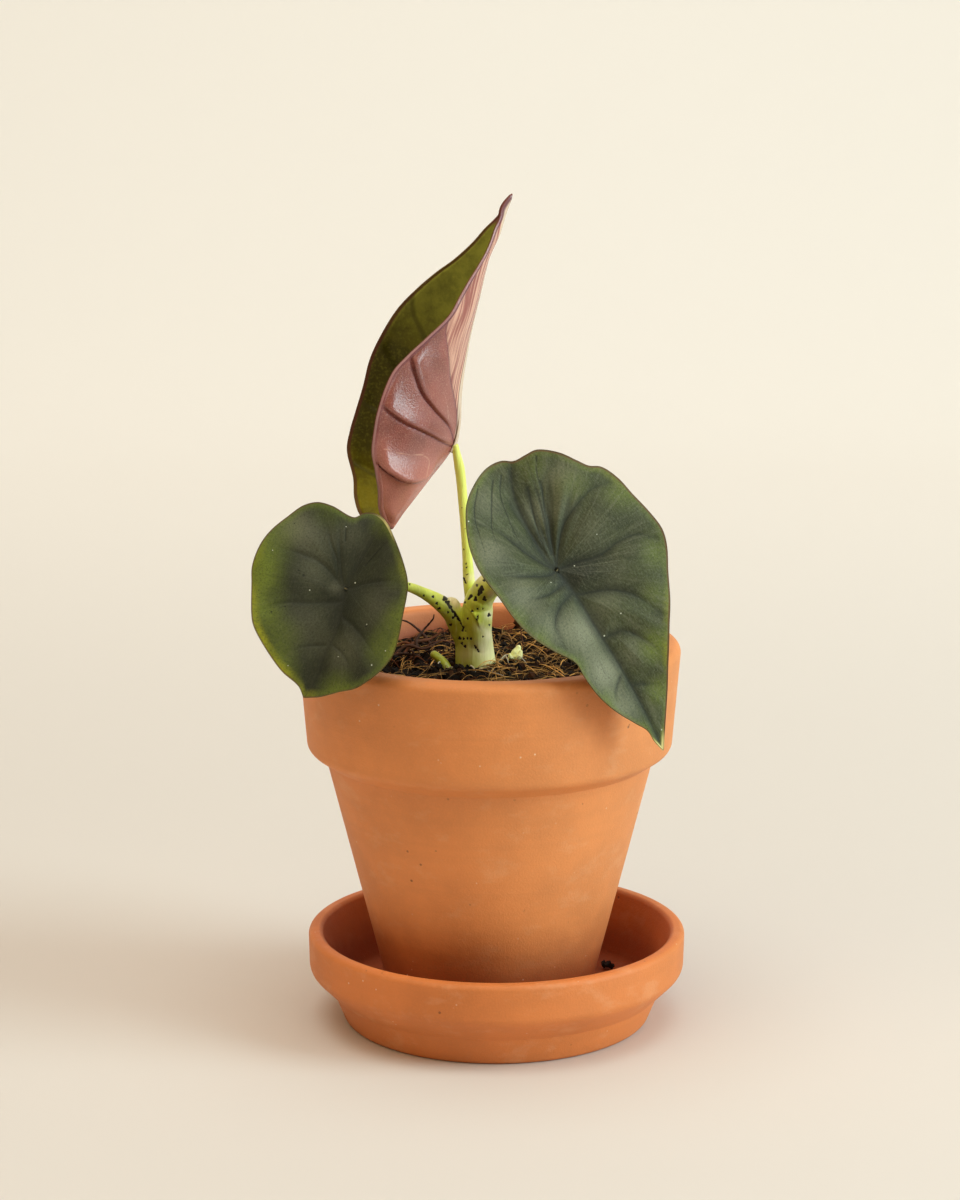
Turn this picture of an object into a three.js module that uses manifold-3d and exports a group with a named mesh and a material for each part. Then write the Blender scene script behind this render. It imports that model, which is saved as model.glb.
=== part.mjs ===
// Potted nebula alocasia: a young aroid with three shield leaves, in a terracotta pot on its saucer.
// Millimetres, +Z up. The origin is the centre of the saucer's underside, which stands on the table.
// +X is to the viewer's right and the viewer looks along +Y.
import * as THREE from 'three';
import { mergeVertices } from 'three/addons/utils/BufferGeometryUtils.js';
import Module from 'manifold-3d';

const wasm = await Module();
wasm.setup();

// Driving dimensions

const FIT_GAP = 0.3;
const LATHE_SIDES = 48;
const FILLET_STEPS = 2;

const SAUCER = {
  rimTop: 26.45,
  rimOuter: 54.34,
  rimInner: 50.4,
  bandBottom: 15.21,
  bandOuter: 54.05,
  neckRadius: 47.19,
  neckHeight: 8.31,
  baseRadius: 43.84,
  floorTop: 6.2,
  floorRadius: 44.6,
};

const POT = {
  centreX: -1.98,
  base: SAUCER.floorTop + FIT_GAP,
  baseRadius: 28.81,
  bandBottom: 81.18,
  bandOuter: 51.99,
  neckRadius: 46.71,
  neckHeight: 77.73,
  rimTop: 110.97,
  rimOuter: 54.48,
  rimInner: 47.1,
  innerBendHeight: 78,
  innerBendRadius: 41.5,
  floorTop: 13,
  floorRadius: 25.2,
  drainRadius: 6,
};

// The mix mounds round the stem and rises towards the back right of the wall.
const SOIL = {
  level: 101.6,
  moundHeight: 1.9,
  moundRadius: 15,
  backRise: 3.4,
  riseFrom: 8,
  riseTo: 46,
  roughness: 0.7,
  rings: 9,
  spokes: 36,
  plugBottom: 7.5,
};
const CRUMBS = { count: 28, spread: 41, smallest: 1, largest: 2.3 };
const FIBRES = {
  count: 20, spread: 36, shortest: 6, longest: 13, bow: 0.75, lift: 1.1, sunk: 1.8, radii: [0.4, 0.45, 0.4],
};

const BLADE_THICKNESS = 0.8;
const BLADE_RINGS = 7;
const BLADE_SPOKES = 60;
const FOLD_ROWS = 24;
const FOLD_COLUMNS = 6;
const FOLD_SOFTNESS = 2.5;
const VEIN_VALLEY = 4;
const MARGIN_WAVES = { count: 7, height: 0.5, start: 1 };
const FULL_SWELL_WIDTH = 20;

// The seat is where the petiole joins, towards is the way to the tip, facing is the upper face's
// normal. An outline goes round from the tip, seen with the upper face towards the eye, and a vein
// runs out from the seat or the midrib.
const LEFT_BLADE = {
  seat: [-41.2, -37, 134.1],
  towards: [-0.373, -0.265, -0.889],
  facing: [-0.28, -0.881, 0.381],
  fold: 0.4,
  foldEase: 0.0075,
  droop: 0.0018,
  quilt: 0.9,
  outline: [
    [0, 31.7], [2.3, 29.4], [8.2, 27.2], [14.3, 23.1], [19.2, 18.6], [20.9, 15.8], [24.5, 7.8],
    [25.9, 3.9], [25.9, -2], [24.6, -7.5], [22, -12.7], [19.3, -16.7], [15.8, -19], [11.7, -19.5],
    [5.4, -18.9], [3.6, -21], [1, -22], [-1.6, -21.6], [-4.9, -19.9], [-9.2, -16.4], [-13.7, -11.8],
    [-17.2, -7.4], [-18.7, -4.1], [-20.1, 1.9], [-21.2, 8.7], [-21.2, 13.1], [-19.7, 17.9],
    [-17, 21.9], [-14.4, 24.5], [-9.7, 26.9], [-4.4, 30], [0, 31.7],
  ],
  veins: [
    [[0, 0], [-1.4, 6.8], [-1.2, 14.5], [-1.7, 23.9], [0, 31.7]],
    [[0, 0], [9.4, 8], [16.8, 14.2]],
    [[0, 0], [7, -2.6], [14.9, -3.6], [21.7, -3]],
    [[0, 0], [6.6, -8.5], [12.6, -14.9]],
    [[0, 0], [2.5, -10.3], [5.4, -18.9]],
    [[0, 0], [-0.9, -11.5], [-1.3, -18.8]],
    [[0, 0], [-6, -3.9], [-13.3, -6.4]],
    [[-0.8, 7.6], [-9.3, 10.3], [-16.6, 14.3]],
  ],
};

const RIGHT_BLADE = {
  seat: [16, -41, 140.1],
  towards: [0.541, -0.173, -0.823],
  facing: [0.349, -0.844, 0.407],
  fold: 0.5,
  foldEase: 0.0075,
  droop: 0.0016,
  quilt: 1.2,
  outline: [
    [0, 57], [1.2, 53.5], [1.5, 49.9], [3.7, 46.6], [8, 40.1], [10.8, 33.8], [11.8, 28],
    [11.9, 23.9], [16.1, 17.7], [19.7, 11.1], [21.5, 4.8], [22.3, -2.5], [22.8, -9.7],
    [21.2, -16.6], [17.3, -23.6], [13.6, -27.9], [7.9, -31.1], [-0.3, -33.4], [-4.1, -32.9],
    [-6.7, -31], [-9.9, -30.7], [-12.9, -30.3], [-17, -26.5], [-19.8, -22.1], [-21.9, -19],
    [-24.8, -16.9], [-27.1, -11.9], [-28, -5.8], [-28.9, 0.2], [-29.3, 6.3], [-28, 10.9],
    [-24.9, 16.7], [-21.3, 23.3], [-17.3, 29], [-12.7, 36.4], [-8.7, 43.7], [-6.4, 47.5],
    [-3.3, 52.2], [0, 57],
  ],
  veins: [
    [[0, 0], [-0.8, 8.5], [-0.8, 19.3], [-1.1, 32.7], [-0.8, 45.3], [0, 57]],
    [[0, 0], [-14.1, 3.4], [-20.5, 3.4], [-24.5, 4.9], [-26.8, 8]],
    [[-0.8, 8.5], [-9.9, 13], [-13.9, 17.3], [-15.7, 22.6], [-16.7, 27.9]],
    [[-0.9, 22.5], [-9.9, 28.8], [-11.8, 34.8]],
    [[0, 0], [-9, -9.7], [-16.1, -12.7], [-22.1, -13], [-24.8, -10.7]],
    [[0, 0], [-1, -12.3], [-2.4, -24.1], [-6.2, -31]],
    [[0, 0], [8.5, -2.5], [19.3, -6.3], [22.6, -6.4]],
    [[0, 0], [1.4, -6.6], [4.7, -11.7], [9, -16.6], [15.4, -22.6]],
    [[-0.5, 9.4], [8.7, 9.7], [10.8, 12.8], [11.8, 21.1]],
  ],
};

// The youngest leaf is still half shut along its midrib. Its three lines run from the notch at the
// bottom to the tip, measured from the seat on the keel.
const UPPER_BLADE = {
  seat: [-11.6, 2, 166.8],
  bulge: 2.6,
  keel: [
    [-18.2, -5, -22.6], [-15.9, -4, -19], [-12.1, -2.5, -14.2], [-7.1, -1, -7.9], [-2.9, -0.2, -2.6],
    [-0.7, 0, 0.8], [0.95, 0.5, 10.2], [2.5, 1, 21.1], [4.5, 1, 34.1], [6.1, 0.6, 42.5],
    [9, 0, 49.9], [11.6, -1, 59.4], [15.4, -2, 70.8],
  ],
  near: [
    [-18.2, -5, -22.6], [-20.1, -7.5, -19.8], [-21.4, -10.5, -15.8], [-21.5, -14.5, -9.5],
    [-22.2, -17.5, -3.6], [-23, -19, 1.7], [-22.4, -20, 7.7], [-21.3, -20.5, 13.4],
    [-17.4, -19, 23.4], [-13.6, -17.5, 27.6], [-8.1, -15.5, 32.6], [0.9, -11.5, 41.5],
    [5.8, -8, 49.4], [11, -4.5, 59.2], [13.2, -3.3, 64.6], [15.4, -2, 70.8],
  ],
  far: [
    [-18.2, -5, -22.6], [-23.7, -0.5, -22.3], [-27.2, 3, -19.8], [-28.7, 5.5, -15.6],
    [-29, 7.5, -10.5], [-30.8, 9.5, -2.5], [-29.9, 10.2, 2.8], [-28.2, 10.5, 8.5],
    [-26.2, 10.5, 15.1], [-24.1, 10, 23.2], [-20.7, 9.2, 30.4], [-13, 7, 40.6],
    [-5.7, 5, 47.3], [1.3, 3.2, 52.8], [6.9, 1.6, 57.8], [11.1, 0.4, 63.2], [15.4, -2, 70.8],
  ],
};

// Stalks: points along the middle, and radii spaced evenly from the first point to the last.
const STEM = {
  points: [[-5.2, 5, 82], [-5.6, 5, 96], [-5.8, 5, 103], [-6.5, 4.3, 110.5], [-6.9, 3.8, 118]],
  radii: [3.6, 5.2, 5.8, 6.2, 5.8, 5.6, 5.2],
};
const SHEATH_STUB = {
  points: [[-8.6, 3.6, 111], [-10.6, 3.4, 115.6], [-12, 3, 120], [-12.9, 2.3, 124.3]],
  radii: [2.6, 2.9, 2.8, 2.1],
};
const PETIOLE_LEFT = {
  points: [
    [-9.2, 3.4, 111.5], [-11.2, 2.6, 116.2], [-13.4, 1.4, 119], [-16.1, -1, 121.6], [-20.5, -5, 124.9],
    [-24.7, -10, 127.9], [-31.1, -18, 131.4], [-35.8, -24.5, 132.8],
  ],
  radii: [2.4, 2.5, 2, 1.5, 1.25, 1.15, 1.1, 1.1, 1.1],
};
const PETIOLE_RIGHT = {
  points: [
    [-5.6, 3.4, 112.5], [-5.4, 2.4, 118.3], [-4.9, 0.6, 123.2], [-2.8, -3, 127], [0.2, -8.5, 130.6],
    [5.4, -19, 134.8], [10.4, -29, 137.2],
  ],
  radii: [3.6, 4.1, 4, 3.8, 3.2, 2.1, 1.7, 1.5, 1.4, 1.3, 1.3],
};
const PETIOLE_UPPER = {
  points: [
    [-6.6, 6.5, 113.5], [-7.2, 6.2, 121.6], [-7.9, 5.8, 127.5], [-8.6, 4.8, 137.9], [-9.7, 3.8, 149.6],
    [-11.1, 2.7, 160.7], [-12.1, 2.2, 165.9],
  ],
  radii: [1.9, 1.9, 1.7, 1.35, 1.2, 1.15, 1.15, 1.15],
};
const SIDE_SHOOT = {
  points: [[-13.9, 0.8, 99.5], [-14, 1.2, 102.4], [-15.2, 1.8, 104.9], [-16.7, 2, 106.5], [-18, 1.8, 107.5]],
  radii: [1.2, 1.3, 1.3, 1.15],
};
const ROOT_BUD = {
  points: [[4.2, 7, 99.5], [4.5, 7, 104.2], [5.5, 7.3, 106.4], [6.3, 7.6, 107.9]],
  radii: [1, 1.2, 1.5, 0.7],
};
const STALK_SIDES = 10;
const STALK_STEPS = 16;
const SHORT_STEPS = 6;

// Loose pieces of bark that lean on the back wall, half buried in the mix.
const BARK = [
  { points: [[-20, 30, 99], [-17.5, 29, 106], [-15.6, 28, 112.5]], radii: [1.5, 1.2, 0.7] },
  { points: [[-18, 31, 99], [-22, 34, 107.5], [-28.5, 35.5, 112.4]], radii: [1.1, 1, 0.5] },
  { points: [[-25, 22, 99], [-21, 25, 105.5], [-14.5, 28, 106]], radii: [1.6, 1.5, 0.8] },
];

const SAUCER_CRUMB = { at: [33, 21], radius: 1.9, height: 2.4 };

// Finishes

function finish(color, roughness) {
  return new THREE.MeshStandardMaterial({ color, roughness, metalness: 0 });
}

const TERRACOTTA = finish(0xc87841, 0.85);
const TERRACOTTA_DARK = finish(0xc06a34, 0.85);
const POTTING_MIX = finish(0x2b1a10, 1);
const STEM_GREEN = finish(0xb9c46a, 0.5);
const SHOOT_GREEN = finish(0x9fb24a, 0.5);
const PALE_ROOT = finish(0xd8d2a6, 0.6);
const BLADE_GREEN = finish(0x46543f, 0.45);
const BLADE_YOUNG = finish(0x9a5f58, 0.35);

// Solids

function toSolid(geometry) {
  const bare = geometry.clone();
  bare.deleteAttribute('normal');
  bare.deleteAttribute('uv');
  const merged = mergeVertices(bare);
  const vertProperties = Float32Array.from(merged.attributes.position.array);
  const triVerts = Uint32Array.from(merged.index.array);
  return new wasm.Manifold(new wasm.Mesh({ numProp: 3, vertProperties, triVerts }));
}

function fromSolid(solid) {
  const mesh = solid.getMesh();
  const geometry = new THREE.BufferGeometry();
  geometry.setAttribute('position', new THREE.BufferAttribute(mesh.vertProperties, 3));
  geometry.setIndex(new THREE.BufferAttribute(mesh.triVerts, 1));
  return geometry;
}

// A cut can leave a loose sliver behind. The piece is the largest body.
function largestBody(solid) {
  const bodies = solid.decompose();
  return bodies.reduce((best, body) => (body.volume() > best.volume() ? body : best));
}

function geometryOf(points, triangles) {
  const geometry = new THREE.BufferGeometry();
  geometry.setAttribute('position', new THREE.Float32BufferAttribute(points.flatMap((p) => [p.x, p.y, p.z]), 3));
  geometry.setIndex(triangles);
  return geometry;
}

function part(name, geometry, material) {
  const mesh = new THREE.Mesh(geometry, material);
  mesh.name = name;
  return mesh;
}

function seededRandom(seed) {
  let state = seed >>> 0;
  return () => {
    state = (Math.imul(state, 1664525) + 1013904223) >>> 0;
    return state / 4294967296;
  };
}

function vectors(list) {
  return list.map((p) => new THREE.Vector3(...p));
}

// Turned pieces

// Corners are [radius, height, fillet radius], and each fillet is an arc of a few steps.
function turnedProfile(corners, closed) {
  const points = [];
  corners.forEach(([r, z, fillet = 0], i) => {
    const corner = new THREE.Vector2(r, z);
    if (!fillet || (!closed && (i === 0 || i === corners.length - 1))) {
      points.push(corner);
      return;
    }
    const before = new THREE.Vector2(...corners[(i + corners.length - 1) % corners.length]);
    const after = new THREE.Vector2(...corners[(i + 1) % corners.length]);
    points.push(...filletArc(before, corner, after, fillet));
  });
  if (closed) points.push(points[0].clone());
  return points;
}

function filletArc(before, corner, after, radius) {
  const towardsBefore = before.clone().sub(corner).normalize();
  const towardsAfter = after.clone().sub(corner).normalize();
  const half = Math.acos(THREE.MathUtils.clamp(towardsBefore.dot(towardsAfter), -1, 1)) / 2;
  const reach = radius / Math.tan(half);
  const start = corner.clone().addScaledVector(towardsBefore, reach);
  const end = corner.clone().addScaledVector(towardsAfter, reach);
  const centre = towardsBefore.clone().add(towardsAfter).normalize().multiplyScalar(radius / Math.sin(half)).add(corner);
  const from = start.clone().sub(centre);
  const turn = Math.atan2(from.cross(end.clone().sub(centre)), from.dot(end.clone().sub(centre)));
  const arc = [];
  for (let k = 0; k <= FILLET_STEPS; k++) {
    arc.push(from.clone().rotateAround(new THREE.Vector2(), (turn * k) / FILLET_STEPS).add(centre));
  }
  return arc;
}

function turned(profile) {
  return new THREE.LatheGeometry(profile, LATHE_SIDES).rotateX(Math.PI / 2);
}

function saucerGeometry() {
  const s = SAUCER;
  return turned(turnedProfile([
    [0, 0],
    [s.baseRadius, 0, 2],
    [s.neckRadius, s.neckHeight, 1.2],
    [s.bandOuter, s.bandBottom, 4],
    [s.rimOuter, s.rimTop, 1.6],
    [s.rimInner, s.rimTop, 1.6],
    [s.floorRadius, s.floorTop, 4],
    [0, s.floorTop],
  ], false));
}

function potGeometry() {
  const p = POT;
  return turned(turnedProfile([
    [p.drainRadius, p.base],
    [p.baseRadius, p.base, 1],
    [p.neckRadius, p.neckHeight, 1],
    [p.bandOuter, p.bandBottom, 3],
    [p.rimOuter, p.rimTop, 2.5],
    [p.rimInner, p.rimTop, 2],
    [p.innerBendRadius, p.innerBendHeight, 8],
    [p.floorRadius, p.floorTop, 3],
    [p.drainRadius, p.floorTop],
  ], true));
}

function potWallRadius(z) {
  const p = POT;
  if (z > p.innerBendHeight) {
    return THREE.MathUtils.mapLinear(z, p.innerBendHeight, p.rimTop, p.innerBendRadius, p.rimInner);
  }
  return THREE.MathUtils.mapLinear(z, p.floorTop, p.innerBendHeight, p.floorRadius, p.innerBendRadius);
}

// Stalks

function listAt(values, fraction) {
  const place = fraction * (values.length - 1);
  const index = Math.min(Math.floor(place), values.length - 2);
  return THREE.MathUtils.lerp(values[index], values[index + 1], place - index);
}

// A closed stalk with a round section that swells and thins along a smooth line.
function stalkGeometry({ points, radii }, sides, steps, grow = 0) {
  const curve = new THREE.CatmullRomCurve3(vectors(points), false, 'centripetal');
  const frames = curve.computeFrenetFrames(steps, false);
  const ring = [];
  const triangles = [];
  for (let i = 0; i <= steps; i++) {
    const centre = curve.getPointAt(i / steps);
    const radius = listAt(radii, i / steps) + grow;
    for (let j = 0; j < sides; j++) {
      const angle = (2 * Math.PI * j) / sides;
      ring.push(centre.clone()
        .addScaledVector(frames.normals[i], radius * Math.cos(angle))
        .addScaledVector(frames.binormals[i], radius * Math.sin(angle)));
      if (i === steps) continue;
      const a = i * sides + j;
      const b = i * sides + ((j + 1) % sides);
      triangles.push(a, b, b + sides, a, b + sides, a + sides);
    }
  }
  const first = ring.push(curve.getPointAt(0).addScaledVector(frames.tangents[0], -grow)) - 1;
  const last = ring.push(curve.getPointAt(1).addScaledVector(frames.tangents[steps], grow)) - 1;
  for (let j = 0; j < sides; j++) {
    const next = (j + 1) % sides;
    triangles.push(first, next, j);
    triangles.push(last, steps * sides + j, steps * sides + next);
  }
  return geometryOf(ring, triangles);
}

function stalk(shape, grow = 0, steps = STALK_STEPS) {
  return toSolid(stalkGeometry(shape, STALK_SIDES, steps, grow));
}

function withEnd(shape, ...end) {
  return { points: [...shape.points, ...end], radii: shape.radii };
}

// Leaf blades

// Gives an open surface its thickness below, with both faces split into triangles alike.
function thickened(surface, edge, above, below) {
  surface.computeVertexNormals();
  const position = surface.attributes.position;
  const normal = surface.attributes.normal;
  const faces = Array.from(surface.index.array);
  const count = position.count;
  const points = [above, -below].flatMap((shift) => Array.from({ length: count }, (_, i) => (
    new THREE.Vector3().fromBufferAttribute(position, i)
      .addScaledVector(new THREE.Vector3().fromBufferAttribute(normal, i), shift)
  )));
  const triangles = [...faces];
  for (let i = 0; i < faces.length; i += 3) {
    triangles.push(faces[i] + count, faces[i + 2] + count, faces[i + 1] + count);
  }
  edge.forEach((a, i) => {
    const b = edge[(i + 1) % edge.length];
    triangles.push(a, a + count, b + count, a, b + count, b);
  });
  return geometryOf(points, triangles);
}

function veinLines(veins) {
  return veins.map((vein) => {
    const curve = new THREE.CatmullRomCurve3(vein.map(([x, y]) => new THREE.Vector3(x, y, 0)), false, 'centripetal');
    return curve.getSpacedPoints(16);
  });
}

function distanceToLines(lines, x, y) {
  const at = new THREE.Vector3(x, y, 0);
  const nearest = new THREE.Vector3();
  let least = Infinity;
  for (const line of lines) {
    for (let i = 1; i < line.length; i++) {
      new THREE.Line3(line[i - 1], line[i]).closestPointToPoint(at, true, nearest);
      least = Math.min(least, nearest.distanceTo(at));
    }
  }
  return least;
}

// Height of the upper face: the halves rise from a sunken midrib and level off, the tip and the back
// lobes droop, the leaf puffs up between its veins, and the margin waves.
function bladeHeight(shape, lines, x, y, reach, turn) {
  const side = Math.hypot(x, FOLD_SOFTNESS) - FOLD_SOFTNESS;
  const folded = shape.fold * side - shape.foldEase * side * side;
  const puff = shape.quilt * (1 - Math.exp(-((distanceToLines(lines, x, y) / VEIN_VALLEY) ** 2)));
  const flatMargin = 1 - reach ** 6;
  const wave = MARGIN_WAVES.height * Math.sin(MARGIN_WAVES.count * turn + MARGIN_WAVES.start) * reach ** 4;
  return folded - shape.droop * y * y + puff * flatMargin + wave;
}

// A blade joined to its petiole inside its outline: rings of points that grow out from the seat.
function shieldBlade(shape, grow = 0) {
  const outline = vectors(shape.outline.map(([x, y]) => [x, y, 0]));
  const rim = new THREE.CatmullRomCurve3(outline, false, 'centripetal').getSpacedPoints(BLADE_SPOKES);
  const lines = veinLines(shape.veins);
  const points = [new THREE.Vector3(0, 0, bladeHeight(shape, lines, 0, 0, 0, 0))];
  const triangles = [];
  for (let k = 1; k <= BLADE_RINGS; k++) {
    for (let j = 0; j < BLADE_SPOKES; j++) {
      const reach = k / BLADE_RINGS;
      const x = rim[j].x * reach;
      const y = rim[j].y * reach;
      const turn = (2 * Math.PI * j) / BLADE_SPOKES;
      points.push(new THREE.Vector3(x, y, bladeHeight(shape, lines, x, y, reach, turn)));
    }
  }
  const at = (k, j) => 1 + (k - 1) * BLADE_SPOKES + (j % BLADE_SPOKES);
  for (let j = 0; j < BLADE_SPOKES; j++) {
    triangles.push(0, at(1, j + 1), at(1, j));
    for (let k = 1; k < BLADE_RINGS; k++) {
      triangles.push(at(k, j), at(k, j + 1), at(k + 1, j + 1), at(k, j), at(k + 1, j + 1), at(k + 1, j));
    }
  }
  const edge = Array.from({ length: BLADE_SPOKES }, (_, j) => at(BLADE_RINGS, BLADE_SPOKES - j));
  return thickened(geometryOf(points, triangles), edge, grow, BLADE_THICKNESS + grow);
}

function bladeTurn({ towards, facing }) {
  const up = new THREE.Vector3(...facing).normalize();
  const ahead = new THREE.Vector3(...towards);
  ahead.addScaledVector(up, -ahead.dot(up)).normalize();
  const across = new THREE.Vector3().crossVectors(ahead, up);
  return new THREE.Quaternion().setFromRotationMatrix(new THREE.Matrix4().makeBasis(across, ahead, up));
}

// One line across the half shut blade, from the far margin over the keel to the near margin.
function foldedRow(far, keel, near, along, bulge) {
  const row = [];
  for (let k = -FOLD_COLUMNS; k <= FOLD_COLUMNS; k++) {
    const fraction = Math.abs(k) / FOLD_COLUMNS;
    const margin = k < 0 ? far : near;
    const across = margin.clone().sub(keel);
    const outward = new THREE.Vector3().crossVectors(along, across).normalize().multiplyScalar(k < 0 ? -1 : 1);
    const swell = bulge * Math.sin(Math.PI * fraction) * Math.min(1, across.length() / FULL_SWELL_WIDTH);
    row.push(keel.clone().addScaledVector(across, fraction).addScaledVector(outward, swell));
  }
  return row;
}

function foldedBlade(shape, grow = 0) {
  const line = (points) => new THREE.CatmullRomCurve3(vectors(points), false, 'centripetal');
  const keelLine = line(shape.keel);
  const [far, keel, near] = [line(shape.far), keelLine, line(shape.near)].map((c) => c.getSpacedPoints(FOLD_ROWS));
  const points = [keel[0]];
  for (let i = 1; i < FOLD_ROWS; i++) {
    points.push(...foldedRow(far[i], keel[i], near[i], keelLine.getTangentAt(i / FOLD_ROWS), shape.bulge));
  }
  const last = points.push(keel[FOLD_ROWS]) - 1;
  const width = 2 * FOLD_COLUMNS + 1;
  const at = (i, j) => 1 + (i - 1) * width + j;
  const triangles = [];
  for (let j = 0; j < width - 1; j++) {
    triangles.push(0, at(1, j + 1), at(1, j));
    triangles.push(last, at(FOLD_ROWS - 1, j), at(FOLD_ROWS - 1, j + 1));
    for (let i = 1; i < FOLD_ROWS - 1; i++) {
      triangles.push(at(i, j), at(i, j + 1), at(i + 1, j + 1), at(i, j), at(i + 1, j + 1), at(i + 1, j));
    }
  }
  const rows = Array.from({ length: FOLD_ROWS - 1 }, (_, i) => i + 1);
  const edge = [0, ...rows.map((i) => at(i, width - 1)), last, ...rows.reverse().map((i) => at(i, 0))];
  return thickened(geometryOf(points, triangles), edge, grow, BLADE_THICKNESS + grow);
}

// Potting mix

function soilHeight(x, y, random) {
  const [footX, footY] = inPot(STEM).points[2];
  const fromFoot = (x - footX) ** 2 + (y - footY) ** 2;
  const mound = SOIL.moundHeight * Math.exp(-fromFoot / (2 * SOIL.moundRadius ** 2));
  const back = SOIL.backRise * THREE.MathUtils.smoothstep(y + 0.5 * x, SOIL.riseFrom, SOIL.riseTo);
  const lumps = 0.6 * Math.sin(0.31 * x + 0.5) * Math.cos(0.37 * y) + 0.4 * Math.sin(0.73 * x - 0.41 * y);
  return SOIL.level + mound + back + lumps + SOIL.roughness * (2 * random() - 1);
}

function soilBody(random) {
  const points = [new THREE.Vector3(0, 0, soilHeight(0, 0, random))];
  const edgeRadius = potWallRadius(SOIL.level) - FIT_GAP;
  const addRing = (place) => {
    for (let j = 0; j < SOIL.spokes; j++) {
      const angle = (2 * Math.PI * j) / SOIL.spokes;
      points.push(place(Math.cos(angle), Math.sin(angle)));
    }
  };
  for (let k = 1; k <= SOIL.rings; k++) {
    const radius = (edgeRadius * k) / SOIL.rings;
    addRing((cos, sin) => {
      const z = soilHeight(radius * cos, radius * sin, random);
      const r = k === SOIL.rings ? potWallRadius(z) - FIT_GAP : radius;
      return new THREE.Vector3(r * cos, r * sin, z);
    });
  }
  const bend = POT.innerBendHeight;
  const floor = POT.floorTop + FIT_GAP;
  const lower = [
    [potWallRadius(bend) - FIT_GAP, bend],
    [POT.floorRadius - 1, floor + 2],
    [POT.floorRadius - 3, floor],
    [POT.drainRadius - FIT_GAP, floor],
    [POT.drainRadius - FIT_GAP, SOIL.plugBottom],
  ];
  for (const [r, z] of lower) addRing((cos, sin) => new THREE.Vector3(r * cos, r * sin, z));
  const bottom = points.push(new THREE.Vector3(0, 0, SOIL.plugBottom)) - 1;
  return toSolid(geometryOf(points, ringTriangles(SOIL.rings + lower.length, SOIL.spokes, bottom)));
}

// Triangles of a closed skin: a top point, rings of equal count, and a bottom point.
function ringTriangles(rings, spokes, bottom) {
  const at = (k, j) => 1 + (k - 1) * spokes + (j % spokes);
  const triangles = [];
  for (let j = 0; j < spokes; j++) {
    triangles.push(0, at(1, j), at(1, j + 1));
    triangles.push(bottom, at(rings, j + 1), at(rings, j));
    for (let k = 1; k < rings; k++) {
      triangles.push(at(k, j), at(k + 1, j), at(k + 1, j + 1), at(k, j), at(k + 1, j + 1), at(k, j + 1));
    }
  }
  return triangles;
}

// Stands for the random draw where the surface itself is wanted, without its roughness.
function middle() {
  return 0.5;
}

function scatterPlace(random, limit) {
  const radius = limit * Math.sqrt(random());
  const angle = 2 * Math.PI * random();
  return [radius * Math.cos(angle), radius * Math.sin(angle)];
}

// Crumbs stand half out of the surface.
function soilCrumb(random) {
  const [x, y] = scatterPlace(random, CRUMBS.spread);
  const size = THREE.MathUtils.lerp(CRUMBS.smallest, CRUMBS.largest, random());
  const lump = new THREE.OctahedronGeometry(size)
    .scale(1, 0.7 + 0.5 * random(), 0.6 + 0.4 * random())
    .rotateZ(2 * Math.PI * random())
    .translate(x, y, soilHeight(x, y, middle) + 0.1 * size);
  return toSolid(lump);
}

// A coir fibre arches over the surface with both ends sunk in it.
function soilFibre(random) {
  const [x, y] = scatterPlace(random, FIBRES.spread);
  const heading = 2 * Math.PI * random();
  const half = THREE.MathUtils.lerp(FIBRES.shortest, FIBRES.longest, random()) / 2;
  const bow = FIBRES.bow * (2 * random() - 1);
  const points = [-1, -0.4, 0.4, 1].map((t) => {
    const px = x + half * t * Math.cos(heading) - bow * t * t * Math.sin(heading);
    const py = y + half * t * Math.sin(heading) + bow * t * t * Math.cos(heading);
    const lift = Math.abs(t) === 1 ? -FIBRES.sunk : FIBRES.lift;
    return [px, py, soilHeight(px, py, middle) + lift];
  });
  return toSolid(stalkGeometry({ points, radii: FIBRES.radii }, 3, 4));
}

function soilGeometry() {
  const random = seededRandom(7);
  let soil = soilBody(random);
  for (let i = 0; i < CRUMBS.count; i++) soil = soil.add(soilCrumb(random));
  for (let i = 0; i < FIBRES.count; i++) soil = soil.add(soilFibre(random));
  for (const bark of BARK) soil = soil.add(toSolid(stalkGeometry(inPot(bark), 5, 5)));
  for (const sunk of [STEM, SIDE_SHOOT, ROOT_BUD]) {
    soil = soil.subtract(stalk(inPot(sunk), FIT_GAP));
  }
  return fromSolid(largestBody(soil));
}

function inPot({ points, radii }) {
  return { points: points.map(([x, y, z]) => [x - POT.centreX, y, z]), radii };
}

// Assembly

function stemGeometry(rightSheath, upperStalk, leftStalk) {
  const body = stalk(STEM).add(stalk(SHEATH_STUB));
  const sockets = [rightSheath, upperStalk, leftStalk].map((shape) => stalk(shape, FIT_GAP));
  return fromSolid(largestBody(sockets.reduce((solid, socket) => solid.subtract(socket), body)));
}

function placedBlade(name, shape, geometry, material) {
  const mesh = part(name, geometry, material);
  mesh.position.set(...shape.seat);
  if (shape.facing) mesh.quaternion.copy(bladeTurn(shape));
  return mesh;
}

// The petiole runs up to the back of its blade and is cut to it with a small gap.
function petioleGeometry(shape, bladeMesh, ...around) {
  bladeMesh.updateMatrix();
  let solid = stalk(shape).subtract(toSolid(bladeMesh.geometry.clone().applyMatrix4(bladeMesh.matrix)));
  for (const other of around) solid = solid.subtract(stalk(other, FIT_GAP));
  return fromSolid(largestBody(solid));
}

// The last points of a petiole come in square to the back of the blade.
function backOf(blade) {
  const facing = new THREE.Vector3(...blade.facing).normalize();
  const seat = new THREE.Vector3(...blade.seat);
  const end = seat.clone().addScaledVector(facing, -BLADE_THICKNESS / 2);
  const before = seat.clone().addScaledVector(facing, -5);
  return [before.toArray(), end.toArray()];
}

const plant = new THREE.Group();
plant.name = 'potted_nebula_alocasia';

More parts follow.
